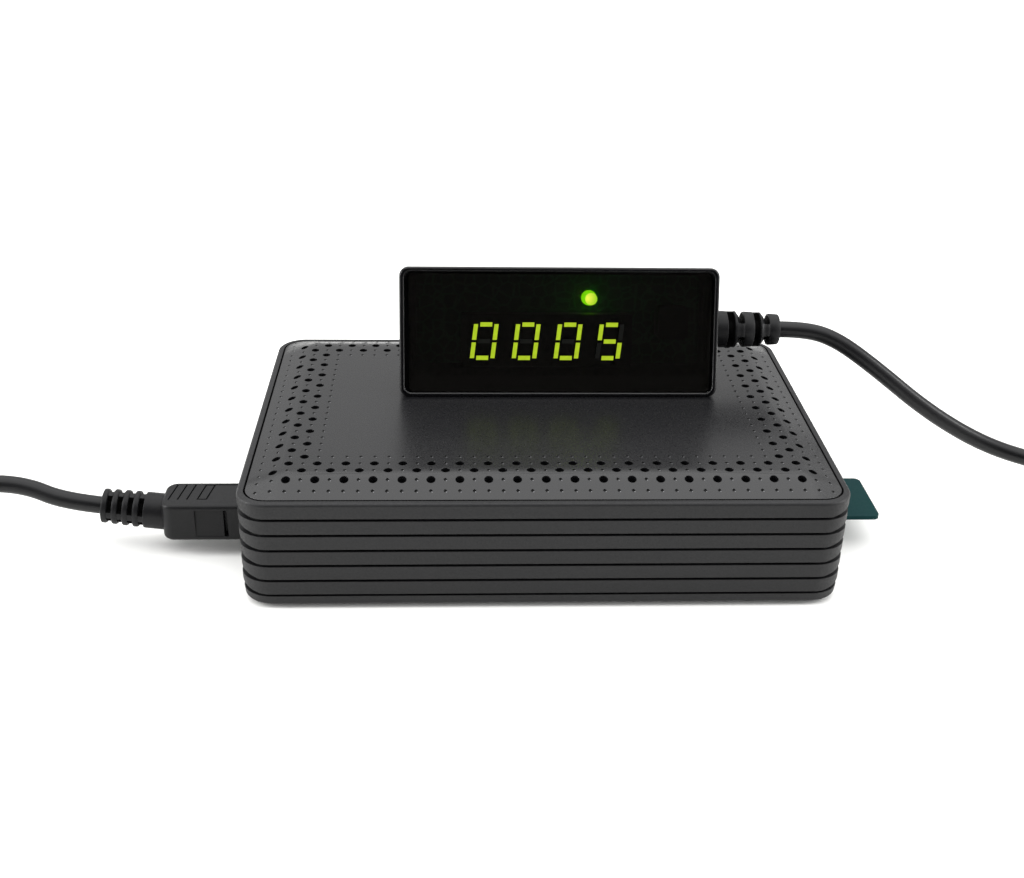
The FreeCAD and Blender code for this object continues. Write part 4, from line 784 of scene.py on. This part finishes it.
def makeSprings():
    bm = bmesh.new()
    length, (hump, humpWidth) = springLook["length"], springLook["hump"]
    shape = Matrix.Diagonal((springLook["thick"], length, springLook["width"], 1.0))
    bmesh.ops.create_cube(bm, size=1.0, matrix=Matrix.Translation((0, -length / 2, 0)) @ shape)
    long = [e for e in bm.edges if lengthAlong(e, 1) > 1]
    bmesh.ops.subdivide_edges(bm, edges=long, cuts=16, use_grid_fill=True)
    for vert in bm.verts:
        share = -vert.co.y / length
        vert.co.x -= springLook["lift"] * exp(-(((share - hump) / humpWidth) ** 2))
    one = [*bm.verts, *bm.edges, *bm.faces]
    for side in ("left", "right"):
        mouth = boxMm("usb_insulator_" + side)[1].y - springLook["behind"]
        low, high = boxMm("usb_shell_" + side)
        for place in springLook["places"]:
            copied = bmesh.ops.duplicate(bm, geom=one)["geom"]
            to = ((low.x + high.x) / 2 + springLook["aside"], mouth, (low.z + high.z) / 2 + place)
            bmesh.ops.translate(bm, vec=to, verts=cornersOf(copied))
    bmesh.ops.delete(bm, geom=cornersOf(one), context="VERTS")
    finishPiece(bm, "dataSprings", [goldFlash], "receiver", (), 40)


makeSprings()
print("aerial barrel and springs made")

# A blank vinyl plate above the picture socket, with a printed hairline near its rim
plateLook = {
    "low": (6.8, -0.04, 13.1),  # from the wall, into which it is sunk a little
    "high": (21.75, 0.12, 20.3),
    "corner": 0.7, "rim": 0.4, "line": 0.14,
}


def makePlate():
    wall = Vector((0, boxMm("lower_case")[1].y, 0))
    bm = bmesh.new()
    addBlock(bm, wall + Vector(plateLook["low"]), wall + Vector(plateLook["high"]))
    roundEdges(bm, [e for e in bm.edges if lengthAlong(e, 1) > 0.05], plateLook["corner"], 5)
    front = [f for f in bm.faces if f.normal.y > 0.99]
    bmesh.ops.inset_region(bm, faces=front, thickness=plateLook["rim"], depth=0.0)
    front = [max((f for f in bm.faces if f.normal.y > 0.99), key=lambda f: f.calc_area())]
    ring = bmesh.ops.inset_region(bm, faces=front, thickness=plateLook["line"], depth=0.0)["faces"]
    for face in ring:
        face.material_index = 1
    finishPiece(bm, "portPlate", [plateVinyl, plateLine], "receiver", (), 30)


makePlate()

# The strap that ties the coil: woven tape, hugging the five turns it crosses
strapLook = {
    "width": 6.0, "thick": 0.45, "gap": 0.06, "angle": 135,
    "turns": ((14.7, 2.2), (21.0, 2.2), (19.65, 5.1), (16.35, 5.1)),  # the outer ones' radius and height
    "spans": ((180, 270), (270, 388), (28, 90), (90, 152)),  # degrees round each of them
}


def makeStrap():
    reach = leadRoute["radius"] + strapLook["gap"]
    outline = []
    for (across, height), (first, last) in zip(strapLook["turns"], strapLook["spans"]):
        for k in range(7):
            angle = radians(first + (last - first) * k / 6)
            outline.append((across + reach * cos(angle), height + reach * sin(angle)))
    bm = bmesh.new()
    half = strapLook["width"] / 2
    ring = [bm.verts.new((across, -half, height)) for across, height in outline]
    edges = [bm.edges.new(pair) for pair in zip(ring, ring[1:] + ring[:1])]
    grown = bmesh.ops.extrude_edge_only(bm, edges=edges)["geom"]
    bmesh.ops.translate(bm, vec=(0, 2 * half, 0), verts=cornersOf(grown))
    weldCorners(bm)
    bmesh.ops.recalc_face_normals(bm, faces=bm.faces)
    bmesh.ops.solidify(bm, geom=bm.faces[:], thickness=-strapLook["thick"])
    carry(bm, bm.verts, strapLook["angle"], "Z", (*leadRoute["coilMiddle"], 0))
    finishPiece(bm, "coilStrap", [wovenNylon], "lead", ["coil_tie"], 40)


# The digits' bars: lit ones cut to the part that shines, and dull ones where a digit has its light off
barLook = {
    "acrossKept": 0.64,  # share of a level bar's length
    "endCut": 0.26,  # off an upright bar's outer end, in mm
    "middleCut": 0.17,
    "pitch": 8.15,
    "column": 1.5,  # bars further left than this in a digit are its left-hand ones
}


# The corners of each loose part of a mesh
def looseParts(bm):
    parts, left = [], dict.fromkeys(bm.verts)
    while left:
        part, edge = [], [left.popitem()[0]]
        while edge:
            vert = edge.pop()
            part.append(vert)
            for link in vert.link_edges:
                other = link.other_vert(vert)
                if other in left:
                    del left[other]
                    edge.append(other)
        parts.append(part)
    return parts


def makeBars():
    bm = copyOf("digit_segments", 1)
    low, high = boxMm("digit_segments")
    centre = (low + high) / 2
    bars = looseParts(bm)
    kinds = []
    for bar in bars:
        middle = meanOf(bar)
        wide, tall = (max(v.co[axis] for v in bar) - min(v.co[axis] for v in bar) for axis in (0, 2))
        if wide > tall:
            for vert in bar:
                vert.co.x = middle.x + (vert.co.x - middle.x) * barLook["acrossKept"]
            kinds.append(("level", middle))
            continue
        upper = [v for v in bar if v.co.z > middle.z]
        lower = [v for v in bar if v.co.z <= middle.z]
        run = (meanOf(upper) - meanOf(lower)).normalized()
        outer, inner = (upper, lower) if middle.z > centre.z else (lower, upper)
        inward = run * (-1 if middle.z > centre.z else 1)
        for vert in outer:
            vert.co += inward * barLook["endCut"]
        for vert in inner:
            vert.co -= inward * barLook["middleCut"]
        kinds.append(("upright", middle))
    # bars that don't shine: copies of a neighbour's, one digit pitch away
    pitch, unlit = barLook["pitch"], []
    last = max(middle.x for kind, middle in kinds)
    for bar, (kind, middle) in zip(bars, kinds):
        away = round((last - middle.x) / pitch)
        faces = list(dict.fromkeys(f for v in bar for f in v.link_faces))
        if kind == "level" and abs(middle.z - centre.z) < 1 and away == 0:
            unlit += [(faces, -pitch * k) for k in (1, 2, 3)]
        first = middle.x - (last - pitch * away)
        if kind == "upright" and away == 1 and (first > -barLook["column"]) == (middle.z > centre.z):
            unlit.append((faces, pitch))
    for faces, along in unlit:
        copied = bmesh.ops.duplicate(bm, geom=faces)["geom"]
        bmesh.ops.translate(bm, vec=(along, 0, 0), verts=cornersOf(copied))
        for face in copied:
            if isinstance(face, bmesh.types.BMFace):
                face.material_index = 1
    finishPiece(bm, "digitBars", [digitLight, unlitBar], "display", ["digit_segments"], 30)


makeBars()

# The lips thrown up round the cover's pin marks: one low ring at each raster point that has no hole
lipLook = {
    "profile": [(0.15, -0.05), (0.2, 0.035), (0.3, 0.045), (0.38, -0.02)],  # radius and height
    "steps": 10,
    "clear": 1.1,  # a hole's edge is nearer than this
    "thick": 2.2,  # the holes' edges lie within this of the top
    "slope": 0.339,  # of the crown beyond where it turns down
}


def makeLips():
    top = boxMm("top_cover")[1].z
    pitch = coverLook["pitch"]
    holes = set()
    for vert in nodes["top_cover"].data.vertices:
        x, y, z = (c / mm for c in vert.co)
        column, row = round(x / pitch), round(y / pitch)
        if z > top - lipLook["thick"] and hypot(x - pitch * column, y - pitch * row) < lipLook["clear"]:
            holes.add((column, row))
    bm = bmesh.new()
    steps, crown = lipLook["steps"], lipLook["slope"]
    circle = [(cos(2 * pi * k / steps), sin(2 * pi * k / steps)) for k in range(steps)]
    across, deep = (floor(limit) for limit in coverLook["outer"])
    for column in range(-across, across + 1):
        for row in range(-deep, deep + 1):
            inner = abs(column) < coverLook["inner"][0] and abs(row) < coverLook["inner"][1]
            if inner or (column, row) in holes:
                continue
            x, y = column * pitch, row * pitch
            past = [max(0.0, abs(c) - coverLook["turn"][axis]) for c, axis in ((x, "X"), (y, "Y"))]
            slope = [0.0, 0.0]
            if max(past) > 0:
                axis = past.index(max(past))
                slope[axis] = copysign(crown, (x, y)[axis])
            level = top - crown * max(past)
            loops = []
            for radius, height in lipLook["profile"]:
                ring = [(radius * dx, radius * dy) for dx, dy in circle]
                loops.append([
                    bm.verts.new((x + dx, y + dy, level + height - slope[0] * dx - slope[1] * dy))
                    for dx, dy in ring
                ])
            for inside, outside in zip(loops, loops[1:] + loops[:1]):
                for k in range(steps):
                    bm.faces.new((inside[k - 1], outside[k - 1], outside[k], inside[k]))
    finishPiece(bm, "pinLips", [coverAbs], "receiver", [], 60)


makeLips()

# The display's shell, a little wider at both ends than its works
shellLook = {"middle": 4.7, "left": 1.028, "right": 1.017}


def makeShell():
    bm = copyOf("display_front")
    middle = shellLook["middle"]
    for vert in bm.verts:
        vert.co.x = middle + (vert.co.x - middle) * shellLook["left" if vert.co.x < middle else "right"]
    finishPiece(bm, "displayShell", [displayAbs], "display", ["display_front"], 28)


makeShell()

# The tub of the casing: its grooves open up on the short sides and narrow to a line round the corners
ridgeLook = {
    "corner": 5.5,
    "first": 17.9,  # upper edge of the top groove, in mm
    "pitch": 3.05, "height": 0.5, "count": 6,
    "reach": 1.05,  # how far in from the outside a groove goes
    "floor": 0.7,  # deeper in than this is the groove's floor
    "raise": 0.52,
    "underside": 2.0,  # all that lies below this height
    "lower": 0.7,  # of the underside
    "open": (1.25, -0.3),  # of a groove's upper and lower edge, on the short sides
    "fade": 75.0,  # degrees round the corner
    "sink": 1.0,
}


def makeCase():
    low, high = boxMm("lower_case")
    bm = copyOf("lower_case")
    radius, near = ridgeLook["corner"], 0.03
    levels = [ridgeLook["first"] - ridgeLook["pitch"] * k for k in range(ridgeLook["count"])]
    for vert in bm.verts:
        past = Vector((abs(vert.co.x) - high.x + radius, abs(vert.co.y) + low.y + radius))
        out = Vector((max(past.x, 0), max(past.y, 0))).length + min(max(past.x, past.y), 0) - radius
        if vert.co.z < ridgeLook["underside"]:
            vert.co.z -= ridgeLook["lower"]
            continue
        if out < -ridgeLook["reach"]:
            continue
        for top in levels:
            # the lowest groove meets the round of the bottom edge, whose last rows move with it
            above = 0.18 if top == levels[-1] else near
            under = top - ridgeLook["height"]
            edge = 0 if -near < vert.co.z - top < above else 1 if abs(vert.co.z - under) < near else None
            if edge is None:
                continue
            if past.y <= 0:
                share = 1.0
            elif past.x <= 0:
                share = 0.0
            else:
                around = degrees(atan2(past.y, past.x))
                share = max(0.0, 1 - around / ridgeLook["fade"]) ** 1.2
            vert.co.z += ridgeLook["raise"] + ridgeLook["open"][edge] * share
            if out < -ridgeLook["floor"]:
                # the floor of the groove lies deeper where it is open
                inwardX = copysign(max(past.x, 0.01), -vert.co.x)
                inwardY = copysign(max(past.y, 0), -vert.co.y)
                vert.co += Vector((inwardX, inwardY, 0)).normalized() * ridgeLook["sink"] * share
            break
    finishPiece(bm, "ridgedCase", [caseAbs], "receiver", ["lower_case"], 28)


makeCase()

# The lamp behind the window: a flanged dome on the board
lampLook = {
    "radius": 1.2,
    "flange": 1.5,
    "foot": ((0.9, 0), (1.05, -0.15)),  # the flange's rim: how far out, from its radius
    "body": 0.77,  # share of the radius at the flange
    "lean": 18.0,  # degrees, as the display leans back
    "shift": (0.72, -0.5),  # across and up the board, from the drawn place
    "length": 6.1,
}


def makeLamp():
    low, high = boxMm("status_led")
    radius, flange, length = lampLook["radius"], lampLook["flange"], lampLook["length"]
    bm = bmesh.new()
    rim = [(out, flange + change) for out, change in lampLook["foot"]]
    profile = [(0, 0.001), (0, flange), *rim, (rim[-1][0], radius * lampLook["body"])]
    for k in range(13):
        turn = radians(130 - 130 * k / 12)
        profile.append((length - radius + cos(turn) * radius, max(sin(turn) * radius, 0.001)))
    spin(bm, profile, 32)
    lean = radians(lampLook["lean"])
    ahead = Vector((0, -cos(lean), sin(lean)))
    up = Vector((0, sin(lean), cos(lean)))
    drawn = (high.x - low.x) / 2
    foot = Vector(((low.x + high.x) / 2, high.y - drawn * sin(lean), low.z + drawn * cos(lean)))
    across, above = lampLook["shift"]
    foot += Vector((across, 0, 0)) + up * above
    turned = Matrix((ahead, up.cross(ahead), up)).transposed().to_4x4()
    bmesh.ops.transform(bm, matrix=Matrix.Translation(foot) @ turned, verts=bm.verts)
    finishPiece(bm, "ledDome", [ledLight], "display", ["status_led"], 40)


makeLamp()
print("plate, strap, bars, lamp and casing made")

# One soft PVC cord from the display unit, round its coil, to the plug
leadRoute = {
    "radius": 1.65,
    "fromDisplay": [
        (48.9, 12.2, 33.66), (54.4, 12.2, 33.66), (60.4, 11.1, 32.2), (67.7, 8.5, 27.7), (80.3, 5.6, 18.2),
        (93.5, 4.3, 11.0), (104.9, -0.2, 9.4), (110.9, -8.4, 5.7), (112.6, -21.0, 2.4), (114.6, -36.0, 1.7),
        (112.6, -56.0, 1.7), (114.6, -75.0, 2.2),
    ],
    "toPlug": [
        (81.5, -102.8, 5.335), (64.0, -105.0, 1.7), (41.0, -104.9, 1.7), (15.0, -103.8, 1.7),
        (-12.0, -104.4, 1.7), (-40.0, -103.0, 1.7), (-67.5, -104.6, 1.7), (-88.3, -97.8, 1.7),
        (-101.0, -84.2, 1.7), (-109.2, -69.0, 1.7), (-115.6, -51.0, 1.7), (-119.1, -34.2, 3.4),
        (-118.1, -23.6, 7.4), (-112.8, -16.2, 10.6), (-104.4, -12.2, 12.4), (-95.8, -12.1, 11.8),
        (-88.56, -14.0, 9.4), (-80.6, -14.0, 8.43),
    ],
    "coilMiddle": (93.3, -83.0),
    # turns wound clockwise from the card side: (turns so far, radius, height)
    "winding": [
        (0.0, 21.0, 2.2), (0.75, 21.0, 2.2), (0.95, 18.0, 2.2), (1.6, 18.0, 2.2), (1.8, 14.7, 2.2),
        (2.45, 14.7, 2.2), (2.68, 14.7, 5.15), (2.82, 16.35, 5.2), (3.45, 16.35, 5.1), (3.57, 18.0, 5.55),
        (3.7, 19.65, 5.1), (4.25, 19.65, 5.1),
    ],
    "pointsPerTurn": 16,
    "length": 0.92,  # metres
    "bendEnd": (48.9, -9.3, 12.16),
}


def windingAt(turns):
    keys = leadRoute["winding"]
    for before, after in zip(keys, keys[1:]):
        if turns <= after[0]:
            share = (turns - before[0]) / (after[0] - before[0])
            return [a + (b - a) * share for a, b in zip(before[1:], after[1:])]
    return list(keys[-1][1:])


def makeLead():
    points = list(leadRoute["fromDisplay"])
    middleX, middleY = leadRoute["coilMiddle"]
    perTurn = leadRoute["pointsPerTurn"]
    count = round(leadRoute["winding"][-1][0] * perTurn)
    for k in range(count + 1):
        radius, height = windingAt(k / perTurn)
        reach = radius / 0.981  # the spline cuts inside its points by this much
        angle = -2 * pi * k / perTurn
        points.append((middleX + reach * cos(angle), middleY + reach * sin(angle), height))
    points += leadRoute["toPlug"]
    line = bpy.data.curves.new("leadLine", "CURVE")
    line.dimensions = "3D"
    spline = line.splines.new("NURBS")
    spline.points.add(len(points) - 1)
    for point, place in zip(spline.points, points):
        point.co = (*[c * mm for c in place], 1)
    spline.order_u = 3
    spline.use_endpoint_u = True
    spline.resolution_u = 8
    line.materials.append(cordPvc)
    route = addObject("leadLine", line)
    path = [v.co.copy() for v in bpy.data.meshes.new_from_object(route).vertices]
    line.bevel_depth = leadRoute["radius"] * mm
    line.bevel_resolution = 6
    line.use_fill_caps = True
    tube = bpy.data.meshes.new_from_object(route)
    tube.name = "lead"
    bpy.data.objects.remove(route)
    tube.shade_smooth()
    tube.set_sharp_from_angle(angle=radians(50))
    lead = addObject("lead", tube)
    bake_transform(lead)
    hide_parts("cord_run_display", "cord_coil", "cord_run_plug")
    return lead, path


lead, leadPath = makeLead()
makeStrap()
print("lead laid")

studio = {
    "floor": ("#f4f4f2", 6.0),  # half its width in metres
    "card": (0.5, (0.0, -0.75, 0.25)),  # and its place
    "lights": {  # place, target, width and depth, watts
        "overhead": ((0.0, 0.15, 1.0), (0, 0, 0), (1.6, 1.6), 14.0),
        "leftSide": ((-0.9, -0.1, 0.4), (0, 0, 0.02), (0.22, 0.7), 7.5),
        "rightSide": ((0.9, -0.1, 0.4), (0, 0, 0.02), (0.22, 0.7), 6.0),
    },
    "sky": 0.87,
}


def stagePlane(name, size, material):
    bm = bmesh.new()
    bmesh.ops.create_grid(bm, x_segments=1, y_segments=1, size=size)
    mesh = bpy.data.meshes.new(name)
    bm.to_mesh(mesh)
    bm.free()
    mesh.materials.append(material)
    plane = addObject(name, mesh)
    return plane


# Uncoated white paper, its fibres a millimetre long
def paperSurface(colour):
    material, tree = newMaterial("mattPaper")
    point = addNode(tree, "TexCoord").outputs["Object"]
    fibre = addNode(tree, "TexNoise", {"Vector": point, "Scale": 1 / (1.111111 * mm), "Detail": 3.0})
    relief = addNode(tree, "Bump", {"Height": fibre, "Strength": 0.05, "Distance": 0.05 * mm})
    return shine(material, {
        "Base Color": linear(colour), "Roughness": 0.9, "Specular IOR Level": 0.1, "Normal": relief,
    })


# Black wool felt, which sends nothing back
def feltSurface():
    material = newMaterial("blackFelt")[0]
    return shine(material, {"Base Color": linear("#050505"), "Roughness": 1.0, "Specular IOR Level": 0.0})


def lightStudio():
    colour, size = studio["floor"]
    stagePlane("floor", size, paperSurface(colour))
    # a black card low in front keeps the polished face dark; only reflections see it
    size, place = studio["card"]
    card = stagePlane("blackCard", size, feltSurface())
    card.matrix_world = Matrix.Translation(place) @ Matrix.Rotation(radians(90), 4, "X")
    card.visible_camera = card.visible_diffuse = card.visible_shadow = card.visible_transmission = False
    for name, (place, target, size, watts) in studio["lights"].items():
        lamp = bpy.data.lights.new(name, "AREA")
        lamp.shape, lamp.energy = "RECTANGLE", watts
        lamp.size, lamp.size_y = size
        light = addObject(name, lamp)
        light.location = place
        light.rotation_euler = (Vector(target) - Vector(place)).to_track_quat("-Z", "Y").to_euler()
    world = bpy.data.worlds.new("whiteRoom")
    world.use_nodes = True
    background = world.node_tree.nodes["Background"].inputs
    background["Color"].default_value = (1, 1, 1, 1)
    background["Strength"].default_value = studio["sky"]
    scene.world = world


lightStudio()
print("studio lit")
